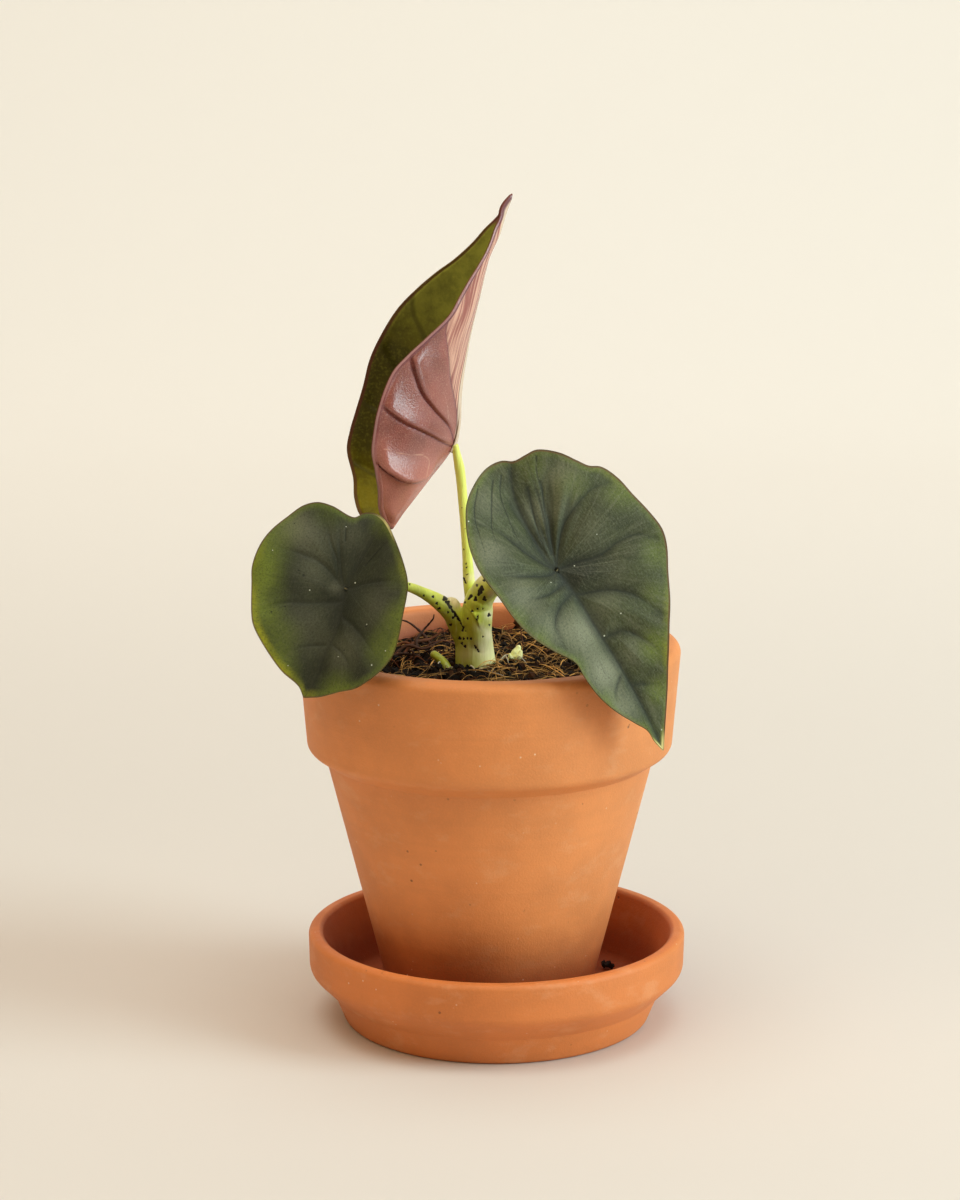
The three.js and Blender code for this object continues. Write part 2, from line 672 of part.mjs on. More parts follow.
const pottedGroup = new THREE.Group();
pottedGroup.position.x = POT.centreX;
pottedGroup.add(part('pot', potGeometry(), TERRACOTTA));
pottedGroup.add(part('soil', soilGeometry(), POTTING_MIX));

const leftStalk = withEnd(PETIOLE_LEFT, ...backOf(LEFT_BLADE));
const rightStalk = withEnd(PETIOLE_RIGHT, ...backOf(RIGHT_BLADE));

const grownLeft = placedBlade('', LEFT_BLADE, shieldBlade(LEFT_BLADE, FIT_GAP), BLADE_GREEN);
const grownRight = placedBlade('', RIGHT_BLADE, shieldBlade(RIGHT_BLADE, FIT_GAP), BLADE_GREEN);
const grownUpper = placedBlade('', UPPER_BLADE, foldedBlade(UPPER_BLADE, FIT_GAP), BLADE_YOUNG);

plant.add(
  part('saucer', saucerGeometry(), TERRACOTTA_DARK),
  pottedGroup,
  part('stem_base', stemGeometry(rightStalk, PETIOLE_UPPER, leftStalk), STEM_GREEN),
  part('petiole_left', petioleGeometry(leftStalk, grownLeft, rightStalk, PETIOLE_UPPER), STEM_GREEN),
  part('petiole_right', petioleGeometry(rightStalk, grownRight, PETIOLE_UPPER), STEM_GREEN),
  part('petiole_upper', petioleGeometry(PETIOLE_UPPER, grownUpper), STEM_GREEN),
  placedBlade('blade_left', LEFT_BLADE, shieldBlade(LEFT_BLADE), BLADE_GREEN),
  placedBlade('blade_right', RIGHT_BLADE, shieldBlade(RIGHT_BLADE), BLADE_GREEN),
  placedBlade('blade_upper', UPPER_BLADE, foldedBlade(UPPER_BLADE), BLADE_YOUNG),
  part('side_shoot', stalkGeometry(SIDE_SHOOT, STALK_SIDES, SHORT_STEPS), SHOOT_GREEN),
  part('root_bud', stalkGeometry(ROOT_BUD, STALK_SIDES, SHORT_STEPS), PALE_ROOT),
);

// One crumb of mix has fallen into the saucer.
const crumb = part('saucer_crumb', new THREE.IcosahedronGeometry(SAUCER_CRUMB.radius, 1), POTTING_MIX);
crumb.geometry.scale(1.2, 0.9, SAUCER_CRUMB.height / (2 * SAUCER_CRUMB.radius));
crumb.position.set(...SAUCER_CRUMB.at, SAUCER.floorTop + FIT_GAP + SAUCER_CRUMB.height / 2);
plant.add(crumb);

export default plant;
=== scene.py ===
"""Potted nebula alocasia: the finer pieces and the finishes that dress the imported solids.

Shapes are worked out in millimetres in the part's own frame and become metres when a mesh is made.
"""

import math

import bpy
import numpy as np
from bpy.props import FloatProperty, FloatVectorProperty, IntProperty, PointerProperty
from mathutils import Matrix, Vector, noise


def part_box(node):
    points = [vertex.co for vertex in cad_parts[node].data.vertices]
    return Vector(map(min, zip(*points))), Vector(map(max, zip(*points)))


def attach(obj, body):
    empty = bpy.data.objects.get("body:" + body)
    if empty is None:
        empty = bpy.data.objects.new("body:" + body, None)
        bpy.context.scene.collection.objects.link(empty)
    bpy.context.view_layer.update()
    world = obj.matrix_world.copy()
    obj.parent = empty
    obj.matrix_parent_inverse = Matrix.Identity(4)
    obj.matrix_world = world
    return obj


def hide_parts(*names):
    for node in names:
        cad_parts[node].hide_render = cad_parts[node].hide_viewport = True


bl_info = {
    "name": "Potted Alocasia",
    "version": (1, 0, 0),
    "blender": (4, 5, 0),
    "location": "View3D > Sidebar > Plant",
    "description": "Builds a young shield-leaved aroid in a terracotta pot and saucer",
    "category": "Add Mesh",
}

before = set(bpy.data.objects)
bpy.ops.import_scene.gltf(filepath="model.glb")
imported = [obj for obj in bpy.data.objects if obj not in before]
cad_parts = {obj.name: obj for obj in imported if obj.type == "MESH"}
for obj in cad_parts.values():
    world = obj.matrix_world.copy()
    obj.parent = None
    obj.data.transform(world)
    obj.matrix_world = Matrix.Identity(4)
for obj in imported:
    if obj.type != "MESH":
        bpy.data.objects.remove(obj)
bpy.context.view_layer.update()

# The pot's axis stands this far across from the saucer's, in millimetres.
POT_X = -1.98
# How far the camera looks down, in radians.
CAMERA_TILT = 0.2117


def tone(red, green, blue):
    """A screen colour, 0 to 255 a channel, as the linear colour that shaders use."""
    channels = (value / 255 for value in (red, green, blue))
    return tuple(v / 12.92 if v <= 0.04045 else ((v + 0.055) / 1.055) ** 2.4 for v in channels)


# Settings


def colour(name, description, default):
    """A colour that a property group holds."""
    return FloatVectorProperty(
        name=name, description=description, default=default, size=3, min=0, max=1, subtype="COLOR"
    )


class ClaySettings(bpy.types.PropertyGroup):
    pot: colour("Pot", "Fired clay of the pot", tone(226, 141, 78))
    saucer: colour("Saucer", "Fired clay of the saucer", tone(216, 126, 63))
    sides: IntProperty(name="Sides", description="Faces round a turned piece", default=224, min=48, max=512)
    grain: FloatProperty(
        name="Grain", description="Depth of the clay's surface grain",
        default=0.0001, unit="LENGTH", precision=5,
    )


class LeafSettings(bpy.types.PropertyGroup):
    body: colour("Body", "Upper face of a grown leaf", tone(59, 66, 32))
    # Silver is the leaf's own bloom and also painted sheen.
    silver_and_sheen: colour("Silver", "Silvery bloom on the upper face", tone(138, 139, 112))
    green: colour("Green", "Fresh green towards the margin", tone(108, 124, 34))
    lime: colour("Lime", "Yellow green of the thinnest margin", tone(156, 158, 22))
    rim: colour("Rim", "Brown line along the margin", tone(104, 74, 48))
    vein: colour("Vein", "Sunken veins of a grown leaf", tone(28, 33, 19))
    back: colour("Back", "Underside of a grown leaf", tone(128, 112, 96))
    vein_depth: FloatProperty(
        name="Vein depth", description="Depth of the groove along a vein",
        default=0.00025, unit="LENGTH", precision=5,
    )


class YoungLeafSettings(bpy.types.PropertyGroup):
    underside: colour("Underside", "Pink underside of the youngest leaf", tone(143, 78, 68))
    strip: colour("Strip", "Paler underside beside the midrib", tone(218, 166, 142))
    vein: colour("Vein", "Purple veins of the underside", tone(92, 38, 48))
    rim: colour("Rim", "Lavender roll of the margin", tone(178, 130, 128))
    inside: colour("Inside", "Olive upper face of the youngest leaf", tone(82, 74, 4))
    # High and low stand for painted light that comes through the blade.
    high: colour("High", "Upper face towards the tip", tone(146, 148, 54))
    low: colour("Low", "Upper face near the foot", tone(140, 130, 10))


class StemSettings(bpy.types.PropertyGroup):
    lime: colour("Lime", "Skin of the stalks", tone(212, 222, 72))
    foot: colour("Foot", "Pale skin at the stem's foot", tone(244, 242, 170))
    spot: colour("Spot", "Dark spots on the stalks", tone(26, 16, 14))
    seed: IntProperty(name="Seed", description="Seed of the spots at the back", default=4, min=0)


class SoilSettings(bpy.types.PropertyGroup):
    peat: colour("Peat", "Damp peat", tone(22, 12, 3))
    coir: colour("Coir", "Coir fibres", tone(170, 124, 82))
    crumbs: IntProperty(name="Crumbs", description="Loose crumbs on the mix", default=1500, min=0, max=2600)
    fibres: IntProperty(name="Fibres", description="Coir fibres on the mix", default=850, min=0, max=1800)
    seed: IntProperty(name="Seed", description="Seed of the scattering", default=11, min=0)


class StageSettings(bpy.types.PropertyGroup):
    paper: colour("Paper", "Pale floor", tone(218, 211, 204))
    # The wall is the floor's paper made paler, as painted light.
    wall: colour("Wall", "Paper where it sweeps up behind", tone(242, 238, 230))
    key: FloatProperty(name="Key", description="Power of the key light", default=20.5, unit="POWER")
    side: FloatProperty(name="Side", description="Power of the left fill", default=13.5, unit="POWER")
    overhead: FloatProperty(name="Overhead", description="Power of the top light", default=22.7, unit="POWER")
    fill: FloatProperty(name="Fill", description="Strength of the light all round", default=0.2, min=0)


SETTINGS = {
    "plant_clay": ClaySettings,
    "plant_leaf": LeafSettings,
    "plant_young_leaf": YoungLeafSettings,
    "plant_stem": StemSettings,
    "plant_soil": SoilSettings,
    "plant_stage": StageSettings,
}


# Shader maths


class Value:
    """A socket of a shader. Arithmetic on it adds the Math nodes that it needs."""

    def __init__(self, shader, socket):
        self.shader = shader
        self.socket = socket

    def __add__(self, other):
        return self.shader.math("ADD", self, other)

    __radd__ = __add__

    def __sub__(self, other):
        return self.shader.math("SUBTRACT", self, other)

    def __rsub__(self, other):
        return self.shader.math("SUBTRACT", other, self)

    def __mul__(self, other):
        return self.shader.math("MULTIPLY", self, other)

    __rmul__ = __mul__


class Shader:
    """A material and its nodes, every one of which comes from one method."""

    def __init__(self, name, constants):
        self.material = bpy.data.materials.new(name)
        self.material.use_nodes = True
        self.tree = self.material.node_tree
        self.surface = self.tree.nodes["Principled BSDF"]
        for socket, value in constants.items():
            self.surface.inputs[socket].default_value = value

    def node(self, kind, settings=None, values=None, output=0):
        made = self.tree.nodes.new(kind)
        for key, setting in (settings or {}).items():
            setattr(made, key, setting)
        for key, value in (values or {}).items():
            self.feed(made.inputs[key], value)
        return Value(self, made.outputs[output])

    def feed(self, socket, value):
        if isinstance(value, Value):
            self.tree.links.new(value.socket, socket)
        elif socket.type == "RGBA":
            socket.default_value = (*value[:3], 1)
        else:
            socket.default_value = value

    def math(self, operation, *terms):
        return self.node("ShaderNodeMath", {"operation": operation}, dict(enumerate(terms)))

    def set(self, **sockets):
        for name, value in sockets.items():
            self.feed(self.surface.inputs[name.replace("_", " ")], value)

    def place(self):
        return self.node("ShaderNodeTexCoord", output="Object")

    def field(self, name, vector=False):
        """What the mesh keeps at each point under a name."""
        output = "Vector" if vector else "Fac"
        return self.node("ShaderNodeAttribute", {"attribute_name": name}, output=output)

    def fields(self, name):
        """The three numbers that the mesh keeps at each point under a name."""
        vector = self.field(name, vector=True)
        return [self.axis(vector, axis) for axis in "XYZ"]

    def stretched(self, vector, factors):
        return self.node("ShaderNodeVectorMath", {"operation": "MULTIPLY"}, {0: vector, 1: factors})

    def axis(self, vector, name):
        return self.node("ShaderNodeSeparateXYZ", None, {0: vector}, output=name)

    def noise(self, vector, scale, detail=2, roughness=0.5):
        values = {"Vector": vector, "Scale": scale, "Detail": detail, "Roughness": roughness}
        return self.node("ShaderNodeTexNoise", None, values)

    def cells(self, vector, scale, feature="F1"):
        values = {"Vector": vector, "Scale": scale}
        return self.node("ShaderNodeTexVoronoi", {"feature": feature}, values, "Distance")

    def fade(self, value, none, full):
        """0 where value is at none, 1 where it is at full, and a smooth change between."""
        values = {"Value": value, "From Min": none, "From Max": full, "To Min": 0, "To Max": 1}
        return self.node("ShaderNodeMapRange", {"interpolation_type": "SMOOTHSTEP"}, values)

    def apart(self, vector, centre):
        return self.node("ShaderNodeVectorMath", {"operation": "DISTANCE"}, {0: vector, 1: centre}, "Value")

    def near(self, vector, centre, radius):
        return self.fade(self.apart(vector, centre), radius, 0)

    def mix(self, factor, first, second):
        return self.node("ShaderNodeMix", {"data_type": "RGBA"}, {0: factor, 6: first, 7: second}, output=2)

    def mottled(self, factor, shade, dark, light):
        """One shade that goes from darker to lighter, each a factor of it."""
        return self.mix(factor, bare(shade, dark), bare(shade, light))

    def layered(self, body, *layers):
        """A colour with layers laid over it in turn, each as strong as the factor before its shade."""
        for factor, shade in layers:
            body = self.mix(factor, body, shade)
        return body

    def bump(self, height, distance, normal=None):
        values = {"Height": height, "Distance": distance, "Strength": 1}
        if normal:
            values["Normal"] = normal
        return self.node("ShaderNodeBump", None, values)


def bare(shade, part):
    """A colour as a plain tuple, each channel times a factor."""
    return tuple(min(1, channel * part) for channel in shade)


# Lines and meshes


def spline(controls, steps=20):
    """A dense centripetal spline through the control points."""
    knots = np.asarray(controls, float)
    knots = np.vstack([2 * knots[0] - knots[1], knots, 2 * knots[-1] - knots[-2]])
    u = np.linspace(0, 1, steps, endpoint=False)[:, None]
    spans = []
    for a, b, c, d in zip(knots, knots[1:], knots[2:], knots[3:]):
        before, span, after = (max(np.linalg.norm(q - p), 1e-6) ** 0.5 for p, q in ((a, b), (b, c), (c, d)))
        leave = ((b - a) / before - (c - a) / (before + span) + (c - b) / span) * span
        arrive = ((c - b) / span - (d - b) / (span + after) + (d - c) / after) * span
        bend = 3 * (c - b) - 2 * leave - arrive
        twist = 2 * (b - c) + leave + arrive
        spans.append(b + u * leave + u**2 * bend + u**3 * twist)
    spans.append(knots[-2][None])
    return np.vstack(spans)


def evenly(line, count):
    """The line as count spans of equal length."""
    length = np.concatenate([[0], np.cumsum(np.linalg.norm(np.diff(line, axis=0), axis=1))])
    stops = np.linspace(0, length[-1], count + 1)
    return np.stack([np.interp(stops, length, line[:, k]) for k in range(line.shape[1])], axis=1)


def unit(vectors):
    return vectors / np.maximum(np.linalg.norm(vectors, axis=-1, keepdims=True), 1e-9)


def smooth(values, low, high):
    t = np.clip((values - low) / (high - low), 0, 1)
    return t * t * (3 - 2 * t)


def distance_to_line(points, line):
    """Each point's distance to a line, and how far along the line its nearest place is, from 0 to 1."""
    best = np.full(len(points), np.inf)
    along = np.zeros(len(points))
    spans = len(line) - 1
    for k in range(spans):
        start, step = line[k], line[k + 1] - line[k]
        part = np.clip((points - start) @ step / max(step @ step, 1e-9), 0, 1)
        distance = np.linalg.norm(points - start - part[:, None] * step, axis=1)
        closer = distance < best
        best[closer] = distance[closer]
        along[closer] = (k + part[closer]) / spans
    return best, along


def grid_faces(rows, columns, closed=False, first=0):
    """Quads of a grid of points. A closed grid joins its last column to its first."""
    i, j = np.meshgrid(np.arange(rows - 1), np.arange(columns if closed else columns - 1), indexing="ij")
    right = (j + 1) % columns
    quads = [i * columns + j, i * columns + right, (i + 1) * columns + right, (i + 1) * columns + j]
    return (np.stack(quads, axis=-1).reshape(-1, 4) + first).tolist()


def make_piece(name, points, faces, finishes, fields=None, face_finish=None, crease=None):
    """A mesh object from points in millimetres, with its fields kept as point attributes."""
    mesh = bpy.data.meshes.new(name)
    mesh.from_pydata((np.asarray(points) * 0.001).tolist(), [], faces)
    for key, values in (fields or {}).items():
        vector = np.ndim(values) == 2
        field = mesh.attributes.new(key, "FLOAT_VECTOR" if vector else "FLOAT", "POINT")
        field.data.foreach_set("vector" if vector else "value", np.asarray(values, np.float32).ravel())
    for finish in finishes:
        mesh.materials.append(finish)
    if face_finish is not None:
        mesh.polygons.foreach_set("material_index", face_finish)
    mesh.shade_smooth()
    if crease:
        mesh.set_sharp_from_angle(angle=math.radians(crease))
    mesh.update()
    piece = bpy.data.objects.new(name, mesh)
    bpy.context.scene.collection.objects.link(piece)
    return piece


def stand_for(piece, slot, *nodes, reach=2.5):
    """Lets a piece stand for its solids, once it is seen to keep to their place."""
    corners = np.array([[tuple(c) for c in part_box(node)] for node in nodes]) * 1000
    low = corners[:, 0].min(axis=0) - reach
    high = corners[:, 1].max(axis=0) + reach
    points = np.array([vertex.co for vertex in piece.data.vertices]) * 1000
    if (points < low).any() or (points > high).any():
        raise RuntimeError(f"{piece.name} leaves its solids: {points.min(0)} {points.max(0)}, {low} {high}")
    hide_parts(*nodes)
    add_to_plant(piece)


def add_to_plant(piece):
    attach(piece, "root")


# Turned clay


def rotated(x, y, angle):
    cosine, sine = math.cos(angle), math.sin(angle)
    return cosine * x - sine * y, sine * x + cosine * y


def filleted(corners, closed, steps=7):
    """A profile through [radius, height, fillet] corners, with an arc at each fillet."""
    profile = []
    count = len(corners)
    for i, (r, z, *fillet) in enumerate(corners):
        corner = np.array([r, z], float)
        if not fillet or (not closed and i in (0, count - 1)):
            profile.append(corner)
            continue
        back = unit(np.array(corners[i - 1][:2], float) - corner)
        ahead = unit(np.array(corners[(i + 1) % count][:2], float) - corner)
        half = math.acos(np.clip(back @ ahead, -1, 1)) / 2
        centre = corner + unit(back + ahead) * fillet[0] / math.sin(half)
        start = corner + back * fillet[0] / math.tan(half) - centre
        end = corner + ahead * fillet[0] / math.tan(half) - centre
        turn = math.atan2(start[0] * end[1] - start[1] * end[0], start @ end)
        profile += [centre + np.array(rotated(*start, turn * k / steps)) for k in range(steps + 1)]
    return np.array(profile)


def subdivided(profile, closed):
    """The profile with its long spans split."""
    ends = np.roll(profile, -1, axis=0) if closed else profile[1:]
    rows = []
    for start, end in zip(profile, ends):
        spans = max(1, round(np.linalg.norm(end - start) / LONGEST_SPAN))
        rows.append(evenly(np.array([start, end]), spans)[:-1])
    return np.vstack(rows if closed else [*rows, profile[-1:]])


def turned(name, corners, sides, finish, closed, centre_x):
    """A turned piece, a little out of true."""
    profile = subdivided(filleted(corners, closed), closed)
    angles = np.linspace(0, 2 * math.pi, sides, endpoint=False)
    radius, height = profile[:, 0, None], profile[:, 1, None]
    waves = np.sin(2 * angles + 0.6) + 0.6 * np.sin(3 * angles + 0.05 * height)
    radius = radius + WOBBLE * waves * np.minimum(1, radius / 40)
    x = centre_x + radius * np.cos(angles)
    y = radius * np.sin(angles)
    points = np.stack([x, y, np.broadcast_to(height, x.shape)], axis=-1)
    if closed:
        total = len(points) * sides
        faces = [[v % total for v in quad] for quad in grid_faces(len(points) + 1, sides, closed=True)]
        return make_piece(name, points.reshape(-1, 3), faces, [finish], crease=50)
    inner = points[1:-1].reshape(-1, 3)
    faces = grid_faces(len(points) - 2, sides, closed=True)
    ends = [[centre_x, 0, profile[0, 1]], [centre_x, 0, profile[-1, 1]]]
    first = len(inner)
    last_row = first - sides
    for j in range(sides):
        k = (j + 1) % sides
        faces.append([first, k, j])
        faces.append([first + 1, last_row + j, last_row + k])
    return make_piece(name, np.vstack([inner, ends]), faces, [finish], crease=50)


# How far the maker's hand leaves the clay out of true, and the longest span of a profile, in millimetres.
WOBBLE = 0.06
LONGEST_SPAN = 2.5
# Each corner's radius, height and fillet, in millimetres.
SAUCER_CORNERS = [
    (0, 0), (43.84, 0, 2), (47.19, 8.31, 1.2), (54.05, 15.21, 4), (54.34, 26.45, 1.6), (50.4, 26.45, 1.6),
    (44.6, 6.2, 4), (0, 6.2),
]
POT_CORNERS = [
    (6, 6.5), (28.81, 6.5, 1), (46.71, 77.73, 1), (51.99, 81.18, 3), (54.48, 110.97, 2.5), (47.1, 110.97, 2),
    (41.5, 78, 8), (25.2, 13, 3), (6, 13),
]
# Height that the painted shade on the foot reaches on the outside, in metres.
SAUCER_FOOT_SHADE = 0.004
POT_FOOT_SHADE = 0.046
# Each hollow's axis, its wall's radius at height 0 and its slope, its lowest height and the height below
# which its painted shade deepens, all in metres, and how strong the painted shade is.
SAUCER_HOLLOW = (0, 0.04282, 0.2864, 0.0056, 0.02, 0.75)
POT_HOLLOW = (POT_X / 1000, 0.02825, 0.17, 0.085, 0.11, 0.8)


def fired_clay(name, shade, grain, foot_shade_height, hollow_shade):
    """Unglazed clay: cloudy firing, turning rings, sandy grain, dark pits, pale specks, and painted shade on
    foot and hollow.
    """
    clay = Shader(name, {"Specular IOR Level": 0.5})
    place = clay.place()
    height = clay.axis(place, "Z")
    cloud = clay.noise(place, 34, 4, 0.6)
    patina = clay.noise(clay.stretched(place, (1, 1, 1.8)), 85, 4, 0.65)
    rings = clay.noise(clay.stretched(place, (4, 4, 380)), 1, 3)
    sand = clay.noise(place, 1700, 3, 0.6)
    pits = clay.fade(clay.cells(place, 190), 0.1, 0.05) * clay.fade(clay.noise(place, 90, 0), 0.5, 0.6)
    scars = clay.fade(clay.cells(clay.stretched(place, (130, 130, 52)), 1), 0.05, 0.03)
    scars = scars * clay.fade(clay.noise(place, 60, 0), 0.42, 0.5)
    specks = clay.fade(clay.cells(place, 260), 0.09, 0.04) * clay.fade(clay.noise(place, 75, 0), 0.55, 0.64)
    # Painted shade: the foot grows darker and redder below a height.
    foot = clay.fade(height + 0.012 * cloud, foot_shade_height, foot_shade_height - 0.026)
    # Painted shade in the hollow, deeper towards its floor.
    axis, radius, slope, floor, shade_height, strength = hollow_shade
    reach = clay.apart(clay.stretched(place, (1, 1, 0)), (axis, 0, 0)) - slope * height
    hollow = clay.fade(reach, radius + 0.0012, radius + 0.0004) * clay.fade(height, floor - 0.0006, floor)
    wet = clay.fade(height + 0.008 * cloud, shade_height + 0.006, shade_height - 0.004)
    body = clay.layered(
        clay.mottled(clay.fade(cloud, 0.32, 0.68), shade, 0.9, 1.07),
        (clay.fade(patina, 0.52, 0.7) * 0.16, tone(240, 190, 146)),
        (clay.fade(rings, 0.45, 0.75) * 0.3, bare(shade, 0.88)),
        (clay.fade(sand, 0.4, 0.8) * 0.22, bare(shade, 1.25)),
        # Painted shade on the foot, then in the hollow.
        (foot * 0.76, tone(142, 56, 21)),
        (hollow * (0.4 + 0.6 * wet) * strength, tone(138, 52, 26)),
        (pits * 0.7, bare(shade, 0.3)),
        (scars * 0.55, bare(shade, 0.45)),
        (specks * 0.65, tone(240, 214, 182)),
    )
    relief = clay.bump(sand + 0.7 * rings - 1.2 * pits, grain)
    clay.set(Base_Color=body, Roughness=0.54 + 0.14 * sand, Normal=relief)
    return clay.material


# Stalks


def tube(path, radii, sides, dome=False):
    """Rings of points along a path. A dome closes the far end with a round cap."""
    path = np.asarray(path, float)
    along = unit(np.gradient(path, axis=0))
    across = np.cross(along[0], [0.31, 0.87, 0.12])
    rings = []
    angles = np.linspace(0, 2 * math.pi, sides, endpoint=False)
    for centre, ahead, radius in zip(path, along, radii):
        across = unit(across - ahead * (across @ ahead))
        ring = np.outer(np.cos(angles), across) + np.outer(np.sin(angles), np.cross(ahead, across))
        rings.append(centre + radius * ring)
    if dome:
        for rise in np.arange(1, 6) * math.pi / 12:
            rings.append(path[-1] + radii[-1] * (math.sin(rise) * along[-1] + math.cos(rise) * ring))
    points = np.concatenate(rings)
    faces = grid_faces(len(rings), sides, closed=True)
    faces.append(list(range(sides))[::-1])
    faces.append(list(range(len(points) - sides, len(points))))
    return points, faces


def spaced(values, count):
    """The values spread evenly over a count of places."""
    return np.interp(np.linspace(0, 1, count), np.linspace(0, 1, len(values)), values)


def stalk_mesh(points, radii, steps, sides, dome=False):
    """A tube along a smooth path through the points, with its radii spread evenly along it."""
    return tube(evenly(spline(points), steps), spaced(radii, steps + 1), sides, dome)


def joined(parts):
    """Several (points, faces) as one."""
    points, faces = [], []
    count = 0
    for some_points, some_faces in parts:
        points.append(some_points)
        faces.extend([[v + count for v in face] for face in some_faces])
        count += len(some_points)
    return np.concatenate(points), faces


# The arguments of stalk_mesh for each part of the stem.
STEM = {
    "points": [
        (-5.2, 5, 93), (-5.6, 5, 97), (-6, 4.8, 103), (-6.4, 4.3, 109), (-6.8, 3.8, 114), (-7, 3.6, 116.5),
    ],
    "radii": [5.6, 6.1, 6.1, 5.7, 5.4, 5.3, 4.6], "steps": 60, "sides": 48, "dome": True,
}
SHEATH_STUB = {
    "points": [(-8.6, 3.6, 108), (-10.2, 3.2, 113), (-12.1, 2.6, 117.6), (-13, 2.2, 120.6)],
    "radii": [2.6, 2.9, 2.9, 2.7], "steps": 30, "sides": 32, "dome": True,
}
RIGHT_SHEATH = {
    "points": [(-5.4, 2.8, 107), (-5.5, 2, 113), (-5.5, 1.4, 118), (-5.3, 0.8, 121.5), (-4.9, -0.6, 123.6)],
    "radii": [3.4, 4.0, 4.2, 4.4, 3.9], "steps": 40, "sides": 40, "dome": True,
}
LEFT_STALK = {
    "points": [
        (-8.4, 3.4, 109), (-10.8, 2.8, 115.4), (-13.2, 1.6, 119.2), (-16.1, -1, 122.4), (-20.5, -5, 125.9),
        (-24.7, -10, 128.8), (-31.1, -18, 132.0), (-35.8, -24.5, 133.1), (-39.75, -32.4, 132.3),
        (-41.05, -36.65, 133.95),
    ],
    "radii": [3, 2.9, 2.4, 1.6, 1.3, 1.2, 1.15, 1.1, 1.1], "steps": 110, "sides": 28,
}
RIGHT_STALK = {
    "points": [
        (-5.6, 3.4, 112.5), (-5.4, 2.0, 118.3), (-4.8, 0.3, 122.6), (-3.0, -3, 126.8), (0.2, -8.5, 130.4),
        (5.4, -19, 134.8), (10.4, -29, 137.2), (14.25, -36.7, 138.05), (15.85, -40.65, 139.95),
    ],
    "radii": [3.2, 3.7, 3.8, 3.7, 3.1, 2.1, 1.7, 1.5, 1.4, 1.3, 1.3], "steps": 110, "sides": 28,
}
UPPER_STALK = {
    "points": [
        (-6.6, 6.5, 113.5), (-7.2, 6.2, 121.6), (-7.9, 5.8, 127.5), (-8.6, 4.8, 137.9), (-9.5, 3.9, 149.6),
        (-10.4, 2.9, 159.5), (-11.4, 1.9, 165), (-11.8, 1.6, 167.3),
    ],
    "radii": [1.9, 1.95, 1.75, 1.45, 1.35, 1.35, 1.4, 1.45, 0.95], "steps": 110, "sides": 28,
}
SIDE_SHOOT = {
    "points": [
        (-13.4, 0.8, 98.5), (-13.6, 1.2, 101.2), (-14.9, 1.8, 103.8), (-16.5, 2, 105.5), (-17.8, 1.8, 106.6),
    ],
    "radii": [1.35, 1.4, 1.35, 1.15], "steps": 30, "sides": 24, "dome": True,
}
STEM_PARTS = (STEM, SHEATH_STUB, RIGHT_SHEATH, LEFT_STALK, RIGHT_STALK, UPPER_STALK)
# The points and radii of each knob of the bud.
ROOT_BUD = [
    ([(4.2, 7, 99.5), (4.5, 7, 104.0), (5.2, 7.2, 105.4), (6.0, 7.5, 106.6), (6.3, 7.6, 107.3)],
     [0.9, 1.2, 1.5, 1.1, 1.3, 0.8]),
    ([(1.0, 5.2, 102.6), (2.4, 5.6, 103.3), (4.2, 6.4, 103.6), (5.2, 6.6, 105)], [0.6, 0.7, 0.8, 0.9]),
    ([(5.4, 6.4, 104.4), (6.6, 6.2, 105.3), (7.0, 6.3, 106.4)], [0.9, 1.0, 0.5]),
    ([(4.6, 6.4, 104.2), (3.9, 5.6, 104.9), (3.8, 5.4, 105.8)], [0.7, 0.6, 0.4]),
]
